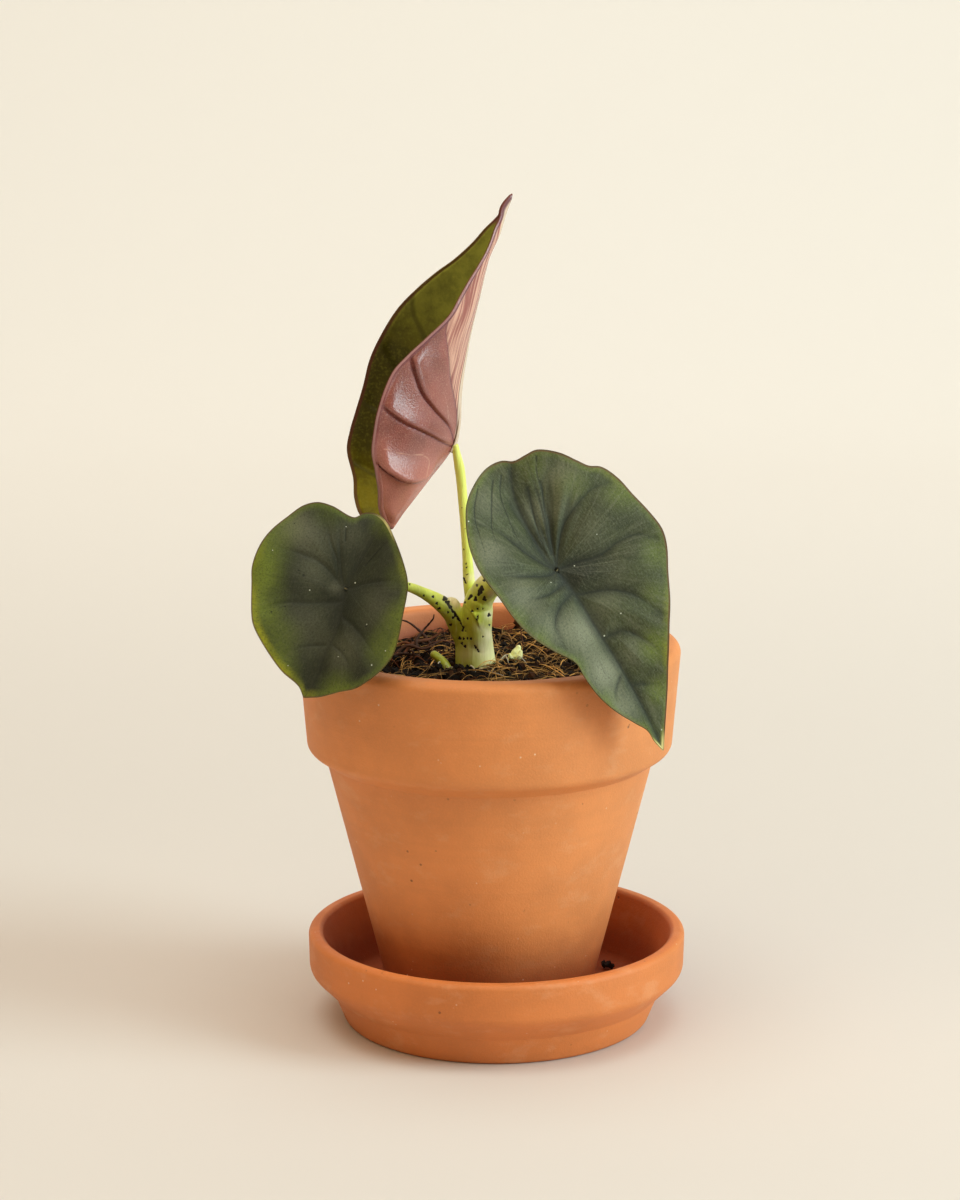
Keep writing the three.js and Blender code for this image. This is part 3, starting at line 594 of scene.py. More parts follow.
# Dark marks that face forward: across and height as seen from the front, half length, half width, and lean in
# degrees.
MARKS = [
    (-4.3, 123.4, 0.75, 0.7, 0), (-4.8, 122.3, 0.95, 0.65, 20), (-7.4, 121.1, 0.95, 0.45, 38),
    (-6.0, 120.4, 0.75, 0.5, 10), (-3.5, 120.5, 0.75, 0.5, -12), (-3.6, 125.7, 0.38, 0.38, 0),
    (-5.6, 124.3, 0.38, 0.34, 0), (-6.9, 117.1, 0.38, 0.34, 0), (-5.5, 117.7, 0.3, 0.26, 0),
    (-4.0, 117.7, 0.26, 0.22, 0), (-2.2, 115.9, 0.55, 0.46, 25), (-5.4, 115.5, 0.38, 0.34, 0),
    (-5.6, 114.7, 0.4, 0.28, 0), (-2.1, 113.1, 0.32, 0.28, 0), (-3.9, 109.8, 0.28, 0.26, 0),
    (-6.0, 106.8, 0.6, 0.32, -25), (-5.3, 105.7, 0.7, 0.26, -32), (-8.8, 119.5, 0.3, 0.24, 0),
    (-9.3, 126.2, 0.75, 0.26, -28), (-8.9, 125.2, 0.6, 0.22, -20), (-14.7, 120.6, 0.7, 0.7, 30),
    (-13.9, 119.4, 0.8, 0.62, -40), (-13.3, 118.3, 0.75, 0.5, -40), (-12.5, 117.0, 0.9, 0.4, -40),
    (-11.7, 115.8, 0.8, 0.4, -38), (-10.9, 114.7, 0.8, 0.32, -38), (-10.1, 113.5, 0.7, 0.26, -36),
    (-9.4, 112.4, 0.5, 0.34, -20), (-9.7, 111.5, 0.42, 0.34, 0), (-13.8, 116.7, 0.36, 0.28, 0),
    (-12.4, 115.2, 0.42, 0.36, 60), (-13.1, 113.1, 0.48, 0.4, 60), (-10.5, 109.3, 0.5, 0.46, 0),
    (-9.4, 109.2, 0.4, 0.32, 0), (-8.3, 109.3, 0.36, 0.28, 0), (-7.3, 109.2, 0.42, 0.32, 0),
    (-9.9, 107.8, 0.42, 0.36, 0), (-9.0, 107.0, 0.46, 0.4, 0), (-18.0, 121.1, 0.4, 0.36, 0),
    (-17.0, 119.2, 0.42, 0.34, 0), (-16.3, 117.8, 0.5, 0.32, 70), (-8.8, 111.3, 0.22, 0.2, 0),
    (-8.2, 114.9, 0.36, 0.3, 0), (-20.6, 121.4, 0.3, 0.26, 0), (-24.4, 124.6, 0.28, 0.24, 0),
    (-8.7, 130.4, 0.34, 0.18, 0), (-8.6, 129.4, 0.3, 0.2, 40), (-8.4, 127.4, 0.34, 0.16, 70),
    (-9.3, 134.5, 0.26, 0.14, 0), (-8.9, 140.4, 0.24, 0.13, 10), (-9.9, 146.2, 0.24, 0.12, 0),
]
# How many loose marks are scattered over the back.
LOOSE_MARKS = 110
# Where a sheath's free edge lies over the stem, across and height as seen from the front.
SEAMS = [
    [(-10.1, 121.2), (-9.3, 119.2), (-8.0, 117.6), (-6.6, 115.8), (-5.4, 113.6), (-4.7, 111.6)],
    [(-12.4, 117.2), (-10.6, 114.2), (-9.2, 111.8)],
]
# Pale skin and painted light on the trunk's right: across and height as seen from the front, radius and
# strength.
PALE_AND_LIT_SKIN = [
    (-12.6, 121.6, 2.4, 1.3), (-11.4, 119.2, 1.6, 0.8), (-5.0, 127.0, 2.0, 0.9), (-7.8, 126.4, 1.2, 0.6),
    (-1.6, 122, 1.3, 0.8), (-2.0, 116, 1.8, 0.9), (-2.2, 110.5, 2.2, 0.9), (-3.6, 106, 3, 0.8),
    (-4.6, 112.4, 1.2, 0.5), (-9, 104.6, 2.6, 0.35), (-1.6, 119, 1.2, 0.5),
]


def marks_on(points, normals, loose, rng):
    """How dark each point of the stalks is: the marks in front, and loose ones scattered over the back."""
    seen = seen_place(points)[:, 1]
    front = normals[:, 1] * math.cos(CAMERA_TILT) - normals[:, 2] * math.sin(CAMERA_TILT) < -0.12
    dark = np.zeros(len(points))
    for x, height, length, width, lean in MARKS:
        across, along = rotated(points[:, 0] - x, seen - height, math.radians(lean))
        ragged = 1 + 0.22 * np.sin(3 * np.arctan2(across, along) + 7 * x)
        size = np.hypot(along / length, across / width) / ragged
        dark = np.maximum(dark, (1 - smooth(size, 0.8, 1.2)) * front)
    for centre in points[rng.integers(0, len(points), loose)]:
        radius = 0.12 + 0.4 * rng.random() ** 2 * (1 if centre[2] < 126 else 0.4)
        size = np.linalg.norm((points - centre) * np.array([1, 1, 0.7]), axis=1) / radius
        dark = np.maximum(dark, (1 - smooth(size, 0.75, 1.2)) * ~front)
    return dark


def seen_place(points):
    """Places across and up as seen from the front."""
    seen = points[:, 1] * math.sin(CAMERA_TILT) + points[:, 2] * math.cos(CAMERA_TILT)
    return np.column_stack([points[:, 0], seen])


def with_seams(points, normals):
    """The stem with each free edge of a sheath raised on its right."""
    seen = seen_place(points)
    front = smooth(-normals[:, 1], 0.1, 0.4)
    lift = np.zeros(len(points))
    steps = 40
    for seam in SEAMS:
        line = evenly(spline(seam), steps)
        distance, along = distance_to_line(seen, line)
        shift = seen - line[np.clip(np.round(along * steps).astype(int), 0, steps)]
        right = smooth(shift[:, 0] + 0.5 * shift[:, 1], -0.1, 0.25)
        ends = smooth(along, 0, 0.15) * (1 - smooth(along, 0.8, 1))
        lift += 0.5 * np.exp(-distance / 0.8) * right * ends * front
    return points + normals * lift[:, None]


def pale_and_lit_skin(points):
    """How pale the skin is: thin sheath edges, the cut stub, and painted light on the trunk's lit right side.
    """
    seen = seen_place(points)
    pale = np.zeros(len(points))
    for x, height, radius, amount in PALE_AND_LIT_SKIN:
        pale += amount * np.exp(-(((seen - (x, height)) ** 2).sum(axis=1) / radius**2))
    return np.minimum(pale, 1)


def blended(parts, grain, rounds):
    """The outer skin of overlapping closed parts, softened where they meet."""
    draft = make_piece("blend_draft", *joined(parts), [])
    remesh = draft.modifiers.new("skin", "REMESH")
    remesh.mode = "VOXEL"
    remesh.voxel_size = grain * 0.001
    soften = draft.modifiers.new("soften", "SMOOTH")
    soften.factor = 0.5
    soften.iterations = rounds
    skin = draft.evaluated_get(bpy.context.evaluated_depsgraph_get()).to_mesh()
    points = np.array([tuple(vertex.co) for vertex in skin.vertices]) * 1000
    normals = np.array([tuple(vertex.normal) for vertex in skin.vertices])
    faces = [list(face.vertices) for face in skin.polygons]
    bpy.data.objects.remove(draft)
    return points, faces, normals


def stalk_skin(name, settings, pale_height):
    """Waxy stalk skin: lime above, greenish white at its foot and, as painted light, on its right, with dark
    marks.
    """
    skin = Shader(name, {
        "Specular IOR Level": 0.5, "Subsurface Weight": 0.15, "Subsurface Radius": (0.002, 0.002, 0.0008),
    })
    place = skin.place()
    height = skin.axis(place, "Z")
    streak = skin.noise(skin.stretched(place, (900, 900, 90)), 1, 3)
    cloud = skin.noise(place, 170, 3)
    fine = skin.noise(place, 900, 2)
    dark = skin.field("dark_mark")
    lean = height - 2.2 * skin.axis(place, "X") + 0.006 * cloud
    foot = bare(settings.foot, 1.02)
    body = skin.layered(
        skin.mottled(skin.fade(cloud, 0.35, 0.68), settings.lime, 0.7, 1.12),
        (skin.fade(height, 0.119, 0.14) * 0.85, tone(250, 255, 126)),
        # Painted shade: darker olive on the stem below the stalks.
        (skin.fade(height, 0.121, 0.114) * 0.6, tone(150, 142, 30)),
        # The pale foot reaches higher on the right, and there it is painted light.
        (skin.fade(lean, pale_height + 0.01, pale_height - 0.006) * 0.95, foot),
        # Pale patches, among them painted light on the trunk's right side.
        (skin.field("pale_and_lit_skin") * (0.6 + 0.5 * cloud), tone(242, 226, 182)),
        (skin.fade(streak, 0.5, 0.8) * 0.3, foot),
        (skin.fade(height, 0.103, 0.0995) * 0.7, tone(58, 42, 24)),
        (skin.fade(dark, 0.25, 0.7), tuple(settings.spot)),
    )
    relief = skin.bump(streak + 0.4 * fine - 0.6 * dark, 0.00022)
    skin.set(Base_Color=body, Roughness=0.36 + 0.2 * cloud, Normal=relief)
    return skin.material


# Grown blades


# A grown blade's own frame has its seat at 0, y towards its tip and z out of its upper face, in millimetres.
# A vein has a half width, its strength at its end and its points, and a crease a half width and its points.
# Pleats have the place they fan towards, how far they reach and their height. A tip has its place, reach and
# width. A patch of colour has its centre, radius and strength, and a speck its centre and radius.
BLADES = {
    "blade_left": {
        "seat": (-41.2, -37, 134.1),
        "towards": (-0.373, -0.265, -0.889),
        "facing": (-0.28, -0.881, 0.381),
        "fold": 0.4,
        "droop": 0.0018,
        "quilt": 0.55,
        "outline": [
            (0, 31.7), (2.3, 29.4), (8.2, 27.2), (14.3, 23.1), (19.2, 18.6), (20.9, 15.8), (24.5, 7.8),
            (25.9, 3.9), (25.9, -2), (24.6, -7.5), (22, -12.7), (19.3, -16.7), (15.8, -19), (11.7, -19.5),
            (5.4, -18.9), (3.6, -21), (1, -22), (-1.6, -21.6), (-4.9, -19.9), (-9.2, -16.4), (-13.7, -11.8),
            (-17.2, -7.4), (-18.7, -4.1), (-20.1, 1.9), (-21.2, 8.7), (-21.2, 13.1), (-19.7, 17.9),
            (-17, 21.9), (-14.4, 24.5), (-9.7, 26.9), (-4.4, 30), (0, 31.7),
        ],
        "veins": [
            (1.5, 0.8, [(0, 0), (-1.1, 5.7), (-1.9, 11.3), (-1.5, 18.5), (-1.6, 25), (-0.3, 31.2)]),
            (0.9, 0.1, [(-0.4, 3.6), (3, 5.2), (6.9, 7), (13.5, 9.7), (17.2, 12.3), (20, 14.6)]),
            (1.0, 0.1, [(0, 0), (2.6, -1.1), (9, -4), (15.2, -4.2), (20.2, -3.8), (23.6, -4.2)]),
            (0.7, 0.1, [(0.6, -0.4), (2.3, -0.5), (4.8, -5.8), (8.4, -10.2), (11.6, -15.6)]),
            (0.8, 0.3, [(0.6, -0.2), (2.5, -2.8), (5.5, -9.4), (8.1, -16.3)]),
            (0.9, 0.5, [(0, 0), (-0.2, -2.2), (-1, -8.8), (-1.9, -15.5), (-2.6, -20.5)]),
            (0.9, 0.1, [(0, 0), (-1.3, -0.6), (-5.3, -3), (-12.2, -5.9), (-16.4, -6.4)]),
            (0.9, 0.1, [(-1.3, 6.6), (-1.9, 7.4), (-6.3, 8.8), (-12.3, 11.7), (-17, 15)]),
            (0.5, 0.0, [(-1.6, 16), (4, 18.4), (9, 22.4)]),
            (0.5, 0.0, [(-1.6, 15.4), (-7, 17.2), (-12.6, 21.4)]),
        ],
        "creases": [
            (0.3, [(-3, -8), (-5.2, -13), (-7, -16.6)]),
            (0.25, [(5, -12), (6.6, -16.6), (7, -18.4)]),
        ],
        "pleats": (-1.5, -8, 8, 0.06),
        "body": 0.42,
        "bloom": 0.4,
        "valley": 0.34,
        "line": 0.24,
        "streaks": 0.08,
        "margin_width": 0.3,
        "margin_side": -8,
        "tip": (-4.5, -20.2, 7, 0.7),
        # Silver patches are the leaf's bloom, partly painted sheen.
        "silver_and_sheen": [((2.4, 0.8), 3.2, 0.45), ((19, -10.5), 9, 0.45), ((10, -1), 8, 0.22), ((6, 14), 12, 0.2),
                   ((-7, 16), 9, 0.22), ((-12, 2), 9, 0.16), ((5, -14), 7, 0.16), ((12, -9), 8, 0.22)],
        "green": [((26, 1), 13, 1.1), ((24, 10), 13, 1.1), ((22, -9), 8, 0.35), ((-19.5, 2), 7, 0.7),
                  ((12, 19), 9, 0.6), ((-17, 6), 6, 0.3), ((-18, 12), 8, 0.65), ((-9, 27), 8, 0.75),
                  ((9, 27), 8, 0.8), ((-3, -20), 6, 0.4),
                  ((12, -18), 7, 0.3), ((18, 14), 8, 0.5), ((-14, -8), 6, 0.3)],
        "yellow": [((22, 12), 8, 0.75), ((16, 20), 9, 1.3), ((8, 26.5), 7, 1.1), ((25, 1), 8, 0.4),
                   ((0, 30), 5, 0.7), ((-14, -10), 6, 0.3), ((-19, 10), 7, 0.3)],
        "dark": [((-1.6, 4), 9, 0.9), ((-1.4, 10), 5, 0.5), ((0, -6), 8, 0.35), ((13, 2), 7, 0.3),
                 ((17.5, 9.5), 5, 0.35), ((-2, 24), 6, 0.2)],
        "pale_specks": [((-2, -2.3), 0.42), ((8.6, 4.1), 0.34), ((-19, 12.2), 0.34), ((-16.8, 17.1), 0.4),
                        ((-10.7, 7.3), 0.3), ((6.3, -15.7), 0.28), ((22, -2.3), 0.28), ((6.9, 25.3), 0.26),
                        ((-5.7, 18.1), 0.26)],
        "dark_specks": [((11.5, 1), 0.75), ((-10.7, 7.9), 0.55), ((19.4, -11.3), 0.45), ((16, 13.4), 0.6),
                        ((13.1, 10.7), 0.5), ((-6.8, 15.9), 0.5), ((13.2, 0.2), 0.5), ((-6, -11), 0.4)],
    },
    "blade_right": {
        "seat": (16, -41, 140.1),
        "towards": (0.541, -0.173, -0.823),
        "facing": (0.349, -0.844, 0.407),
        "fold": 0.5,
        "droop": 0.0016,
        "quilt": 1.2,
        "outline": [
            (0, 57), (1.2, 53.5), (1.5, 49.9), (3.7, 46.6), (8, 40.1), (10.8, 33.8), (11.8, 28),
            (11.9, 23.9), (16.1, 17.7), (19.7, 11.1), (21.5, 4.8), (22.3, -2.5), (22.8, -9.7),
            (21.2, -16.6), (17.3, -23.6), (13.6, -27.9), (7.9, -31.1), (-0.3, -33.4), (-4.1, -32.9),
            (-6.7, -31), (-9.9, -30.7), (-12.9, -30.3), (-17, -26.5), (-19.8, -22.1), (-21.9, -19),
            (-24.8, -16.9), (-27.1, -11.9), (-28, -5.8), (-28.9, 0.2), (-29.3, 6.3), (-28, 10.9),
            (-24.9, 16.7), (-21.3, 23.3), (-17.3, 29), (-12.7, 36.4), (-8.7, 43.7), (-6.4, 47.5),
            (-3.3, 52.2), (0, 57),
        ],
        "veins": [
            (1.35, 0.9, [(0, 0), (-0.8, 8.5), (-0.8, 19.3), (-1.1, 32.7), (-0.8, 45.3), (0, 57)]),
            (1.1, 0.5, [(0, 0), (-5.8, 1.3), (-11.6, 3.1), (-16.5, 2.7), (-20.8, 3), (-24, 4.7), (-26.8, 8)]),
            (1.1, 0.4, [(-0.8, 8.5), (-8.8, 12.3), (-12.8, 16), (-15.3, 20.7), (-17.4, 26.2)]),
            (0.8, 0.2, [(-0.9, 22.5), (-6.7, 23.9), (-10.1, 29.6), (-12, 35)]),
            (0.6, 0.1, [(-0.9, 37), (-4.3, 38.8), (-7.3, 40.9)]),
            (1.0, 0.4, [(0, 0), (-4.8, -6.1), (-8.2, -9.3), (-13.8, -11.9), (-19.7, -13.2), (-24.8, -12)]),
            (1.6, 1.0, [(0.2, -1), (1.2, -3), (0.3, -13.1), (-1, -21), (-3.3, -26.8), (-5.9, -30.9)]),
            (0.7, 0.2, [(0, 0), (-5.2, -12), (-8.1, -19.8), (-11, -23.3), (-15.8, -24.7)]),
            (0.9, 0.1, [(0, 0), (2.3, 0.4), (10.9, -3.1), (18.8, -7.3)]),
            (0.8, 0.3, [(0, 0), (1.9, -2.1), (5.7, -7.8), (9.9, -17), (15.2, -22.6)]),
            (0.6, 0.0, [(-0.4, 4.2), (7.1, 4.5), (16.2, 2.2)]),
            (0.9, 0.2, [(-0.6, 7.6), (6.2, 9.1), (10.6, 12), (12.1, 16.9), (12.6, 20.7)]),
            (0.5, 0.0, [(-1, 33), (4, 36), (7, 40)]),
        ],
        "creases": [
            (0.34, [(1.2, -29.6), (6, -25.2), (11.7, -17.9), (13.7, -11.7)]),
            (0.26, [(7.5, -29.9), (13, -25.2), (16.4, -18.3), (19.4, -10.7)]),
            (0.28, [(-2, -29.7), (2.9, -23.8), (5.7, -11.8), (4.2, -6)]),
            (0.34, [(-5.6, -23.2), (-2.3, -14.1), (0.3, -5.2)]),
            (0.28, [(-9.4, -22.5), (-5.1, -13.5), (-1.9, -3.8)]),
            (0.5, [(-1.2, -4.3), (-5.6, -16.5), (-9.4, -29.3)]),
            (0.3, [(-12, -29), (-9.6, -25), (-7.6, -19)]),
        ],
        "pleats": (-3.4, -10, 17, 0.3),
        "body": 1.0,
        "bloom": 1.2,
        "valley": 0.6,
        "line": 0.5,
        "streaks": 0.3,
        "margin_width": 0.55,
        "margin_side": 6,
        "tip": (-0.4, 55.5, 4.5, 1.8),
        # Silver patches are the leaf's bloom, partly painted sheen where the blade faces the light.
        "silver_and_sheen": [((4, 18), 10, 0.85), ((5, 30), 9, 0.95), ((5, 41), 8, 0.5), ((15, 1), 9, 0.5),
                   ((14, -12), 8, 0.3), ((13, 12), 8, 0.45), ((-6, 14), 7, 0.25), ((-6, 30), 6, 0.3),
                   ((-3.5, -16), 7, 0.4), ((8, -26), 8, 0.35), ((-12, -3), 8, 0.2), ((18, -14), 8, 0.4),
                   ((-9, -14), 7, 0.25), ((-12, 9), 6, 0.2), ((-14, -20), 8, 0.35)],
        "green": [((-25, -8), 8, 0.5), ((-15, -17), 7, 0.4), ((-24.5, 11), 7, 0.55), ((-18, 20), 6, 0.45),
                  ((-11.5, 32), 7, 0.95), ((-7, 43), 6, 0.8), ((8.5, 37), 5, 0.5), ((12, 25), 5, 0.45),
                  ((17.5, 13), 5, 0.45), ((20, 5), 5, 0.4), ((-10, -27), 6, 0.35), ((2, 50), 5, 0.6)],
        "yellow": [((0, 56), 7, 1.2), ((-23, -13), 8, 0.25), ((-11.5, 34), 7, 0.7), ((-18, 24), 8, 0.4)],
        "dark": [((-1.5, 3), 9, 0.95), ((0.5, -8), 7, 0.5), ((-9, 5), 10, 0.75), ((13, -9), 9, 0.3),
                 ((10, 3), 8, 0.2), ((-1.8, 18), 5, 0.3), ((-10, -7), 10, 0.2), ((-20, -2), 8, 0.3),
                 ((3, -22), 6, 0.2), ((-14, 14), 6, 0.2)],
        "pale_specks": [((0.1, 0.2), 0.42), ((-4.5, 1.7), 0.32), ((4.2, 2), 0.32), ((-7.7, 19.3), 0.38),
                        ((-1.6, 22), 0.42), ((-2.3, 52), 0.34), ((16.4, -23.7), 0.4), ((-13.2, -2.2), 0.28)],
        "dark_specks": [((4, 9.6), 0.35), ((-3, 30), 0.3)],
    },
}
# Thickness in the middle and at the margin, how the fold eases off sideways, and the points of the mesh.
BLADE_THICKNESS = 0.8
BLADE_EDGE = 0.3
FOLD_EASE = 0.0075
BLADE_RINGS = 92
BLADE_SPOKES = 340


def blade_axes(shape):
    """A grown blade's x, y and z in the part's frame."""
    up = unit(np.array(shape["facing"], float))
    ahead = np.array(shape["towards"], float)
    ahead = unit(ahead - up * (ahead @ up))
    return np.stack([np.cross(ahead, up), ahead, up])


def line_fields(places, lines):
    """Each place's distance to the nearest line in line widths, its strength, and the plain distance."""
    nearest = np.full(len(places), np.inf)
    widths = np.full(len(places), np.inf)
    strength = np.zeros(len(places))
    for width, end, controls in lines:
        distance, along = distance_to_line(places, evenly(spline(controls), 36))
        scaled = distance / (width * (1 - 0.6 * along))
        closer = scaled < widths
        widths[closer] = scaled[closer]
        strength[closer] = (end + (1 - end) * (1 - smooth(along, 0.45, 1)))[closer]
        nearest = np.minimum(nearest, distance)
    return widths, strength, nearest


def blade_surface(shape, depth):
    """A grown blade's upper face in its own frame, how far out its points are, its ribs and its fields."""
    rim = evenly(spline(shape["outline"]), BLADE_SPOKES)[:-1]
    reach = (np.arange(1, BLADE_RINGS + 1) / BLADE_RINGS) ** 0.92
    flat = np.vstack([[[0, 0]], (reach[:, None, None] * rim).reshape(-1, 2)])
    reach = np.concatenate([[0], np.repeat(reach, BLADE_SPOKES)])
    turn = np.concatenate([[0], np.tile(2 * math.pi * np.arange(BLADE_SPOKES) / BLADE_SPOKES, BLADE_RINGS)])
    veins, strength, nearest = line_fields(flat, shape["veins"])
    creases, crease_strength, _ = line_fields(flat, [(width, 0.4, line) for width, line in shape["creases"]])
    pleats = pleat_height(flat, shape["pleats"])
    side = np.hypot(flat[:, 0], 2.5) - 2.5
    height = shape["fold"] * side - FOLD_EASE * side**2 - shape["droop"] * flat[:, 1] ** 2
    height += shape["quilt"] * (1 - np.exp(-((nearest / 4) ** 2))) * (1 - reach**6)
    height += 0.5 * np.sin(7 * turn + 1) * reach**4
    height -= depth * np.exp(-(veins**2)) * strength
    height -= 0.8 * depth * np.exp(-(creases**2)) * crease_strength
    height += pleats
    radius = np.linalg.norm(flat, axis=1)
    margin = radius * (1 / np.maximum(reach, 0.02) - 1)
    fields = {
        "leaf_place": np.column_stack([flat, np.zeros(len(flat))]),
        "leaf_veins": np.column_stack([veins, strength, margin]),
        "leaf_creases": np.column_stack([creases, crease_strength, pleats]),
        "leaf_ray": np.column_stack([unit(flat), radius / 30]),
    }
    return np.column_stack([flat, height]), reach, 0.7 * strength * np.exp(-(veins**2)), fields


def pleat_height(flat, pleats):
    """Fine pleats that fan out from the seat, on the side of the notch."""
    x, y, spread, height = pleats
    angle = np.arctan2(flat[:, 0], -flat[:, 1]) - math.atan2(x, -y)
    size = np.hypot(flat[:, 0], flat[:, 1])
    sector = np.exp(-((angle / 0.5) ** 2)) * smooth(size, 2, 8) * (1 - smooth(size, spread, spread * 1.8))
    return height * np.sin(angle * 24 + 0.6 + 0.06 * size) * sector * np.minimum(1, size / 12)


def surface_normals(points, faces):
    """The normal at each point of a surface of triangles and quads."""
    quads = np.array([face if len(face) == 4 else [*face, face[2]] for face in faces])
    corners = points[quads]
    flat_normals = np.cross(corners[:, 2] - corners[:, 0], corners[:, 3] - corners[:, 1])
    flat_normals += np.cross(corners[:, 1] - corners[:, 0], corners[:, 2] - corners[:, 0])
    normals = np.zeros_like(points)
    for k in range(4):
        np.add.at(normals, quads[:, k], flat_normals)
    return unit(normals)


def two_faced(surface, faces, edge, thickness, rib, fields, swell=0.12):
    """A surface with an underside that has ribs, and a rounded margin: points, faces, fields and finishes."""
    normals = surface_normals(surface, faces)
    below = surface - normals * (thickness + rib)[:, None]
    count = len(surface)
    top_edge = surface[edge]
    low_edge = below[edge]
    ahead = np.roll(top_edge, -1, axis=0) - np.roll(top_edge, 1, axis=0)
    outward = unit(np.cross(ahead, normals[edge]))
    if ((top_edge - surface.mean(axis=0)) * outward).sum() < 0:
        outward = -outward
    lip = (top_edge + low_edge) / 2 + outward * swell
    points = np.vstack([surface, below, lip])
    undersides = [[v + count for v in face[::-1]] for face in faces]
    rim = []
    size = len(edge)
    for i, a in enumerate(edge):
        j = (i + 1) % size
        b = edge[j]
        rim.append([a, 2 * count + i, 2 * count + j, b])
        rim.append([2 * count + i, a + count, b + count, 2 * count + j])
    both = {key: np.concatenate([values, values, values[edge]]) for key, values in fields.items()}
    finish = np.array([0] * len(faces) + [1] * len(undersides) + [0] * len(rim), np.int32)
    return points, faces + undersides + rim, both, finish


def grown_blade(name, shape, finishes, depth):
    """A grown blade with its veins sunk by a depth."""
    surface, reach, rib, fields = blade_surface(shape, depth)
    spokes = np.arange(BLADE_SPOKES)
    faces = [[0, 1 + (j + 1) % BLADE_SPOKES, 1 + j] for j in spokes]
    faces += [quad[::-1] for quad in grid_faces(BLADE_RINGS, BLADE_SPOKES, closed=True, first=1)]
    faces = outward_up(surface, faces)
    thickness = BLADE_THICKNESS - (BLADE_THICKNESS - BLADE_EDGE) * smooth(reach, 0.82, 1)
    edge = 1 + (BLADE_RINGS - 1) * BLADE_SPOKES + spokes
    rib = rib * (1 - smooth(reach, 0.8, 0.98))
    points, faces, fields, finish = two_faced(surface, faces, edge, thickness, rib, fields)
    placed = np.array(shape["seat"], float) + points @ blade_axes(shape)
    return make_piece(name, placed, faces, finishes, fields, finish)


def outward_up(surface, faces):
    """The faces turned so that their normals point up in the surface's own frame."""
    a, b, c = (surface[[face[k] for face in faces]] for k in (0, 1, 2))
    if np.cross(b - a, c - a)[:, 2].sum() < 0:
        return [face[::-1] for face in faces]
    return faces


def patches(shader, place, spots):
    """The sum of soft round patches: where they lie, how wide they are and how strong."""
    total = 0.0
    for (x, y), radius, amount in spots:
        total = amount * shader.near(place, (x, y, 0), radius) + total
    return total


def specks(shader, place, spots):
    """The sum of small sharp specks: where they lie and how wide they are."""
    total = 0.0
    for (x, y), radius in spots:
        distance = shader.apart(place, (x, y, 0))
        total = shader.fade(distance, 0.62 * radius, 0.3 * radius) + total
    return total


def leaf_face(name, settings, look):
    """Upper face of a grown leaf: dark body, silvery bloom and painted sheen, green towards the margin, dark
    sunken veins.
    """
    leaf = Shader(name, {"Specular IOR Level": 0.32})
    place = leaf.field("leaf_place", vector=True)
    vein, strength, margin = leaf.fields("leaf_veins")
    crease, crease_strength, pleat = leaf.fields("leaf_creases")
    ray = leaf.field("leaf_ray", vector=True)
    cloud = leaf.noise(place, 0.14, 4)
    blotch = leaf.noise(place, 0.6, 3)
    streak = leaf.noise(leaf.stretched(ray, (22, 22, 2.2)), 1, 4, 0.65)
    brush = leaf.noise(leaf.stretched(place, (2.2, 0.7, 1)), 1, 4, 0.6)
    grain = leaf.noise(place, 1.7, 4, 0.7)
    fine = leaf.noise(place, 6, 3, 0.65)
    net = leaf.fade(leaf.cells(place, 1.1, "DISTANCE_TO_EDGE"), 0.16, 0.02)
    border = patches(leaf, place, look["yellow"]) * leaf.fade(margin + 1.2 * blotch, 3.6, 0.9)
    valley = leaf.fade(vein, 2.9, 0.1) * strength * look["valley"]
    line = leaf.fade(vein, 0.5, 0.1) * strength * look["line"]
    width = look["margin_width"]
    side = leaf.fade(leaf.axis(place, "X"), look["margin_side"], -look["margin_side"])
    tip_x, tip_y, tip_reach, tip_width = look["tip"]
    tip = leaf.near(place, (tip_x, tip_y, 0), tip_reach) * leaf.fade(margin, tip_width, 0.4 * tip_width)
    bloom, streaks = look["bloom"], look["streaks"]
    silver_and_sheen, green, dark = tuple(settings.silver_and_sheen), tuple(settings.green), tuple(settings.vein)
    body = leaf.layered(
        leaf.mottled(leaf.fade(cloud, 0.3, 0.7), settings.body, 0.8 * look["body"], 1.22 * look["body"]),
        # The leaf's silver bloom, partly painted sheen where the blade faces the light.
        (patches(leaf, place, look["silver_and_sheen"]) * (0.62 + 0.7 * blotch), silver_and_sheen),
        (patches(leaf, place, look["green"]) * (0.4 + 0.9 * blotch), green),
        (leaf.fade(margin, 2.6, 0.4) * (0.2 + 0.5 * cloud), green),
        (border * 0.9, tuple(settings.lime)),
        (patches(leaf, place, look["dark"]), dark),
        (leaf.fade(brush, 0.42, 0.72) * 0.22 * bloom, bare(silver_and_sheen, 0.8)),
        (leaf.fade(grain, 0.5, 0.34) * 0.5, bare(dark, 1.1)),
        (leaf.fade(grain, 0.54, 0.72) * 0.3 * bloom, silver_and_sheen),
        (leaf.fade(streak, 0.46, 0.78) * streaks, bare(silver_and_sheen, 0.95)),
        (leaf.fade(streak, 0.44, 0.24) * streaks, dark),
        (leaf.fade(fine, 0.5, 0.74) * 0.2 * bloom, bare(silver_and_sheen, 1.2)),
        (net * leaf.fade(blotch, 0.4, 0.6) * 0.2, dark),
        # Painted shade in the pleats' low sides and along the creases.
        (leaf.fade(pleat, -0.04, -0.2) * 0.45, bare(dark, 0.8)),
        (valley * (0.7 + 0.5 * blotch), dark),
        (line, bare(dark, 0.6)),
        (leaf.fade(crease, 1.6, 0.2) * crease_strength * 0.7, bare(dark, 0.8)),
        (leaf.fade(margin, 1.3 * width, 0.8 * width) * (0.35 + 0.45 * side), tuple(settings.rim)),
        (tip * 0.95, tone(222, 210, 142)),
        (specks(leaf, place, look["dark_specks"]) * 0.75, bare(dark, 0.35)),
        (specks(leaf, place, look["pale_specks"]) * 0.85, tone(226, 230, 208)),
    )
    relief = leaf.bump(fine + 0.7 * brush + 0.4 * streak, 0.00014)
    leaf.set(Base_Color=body, Roughness=0.42 + 0.2 * fine, Normal=relief)
    return leaf.material


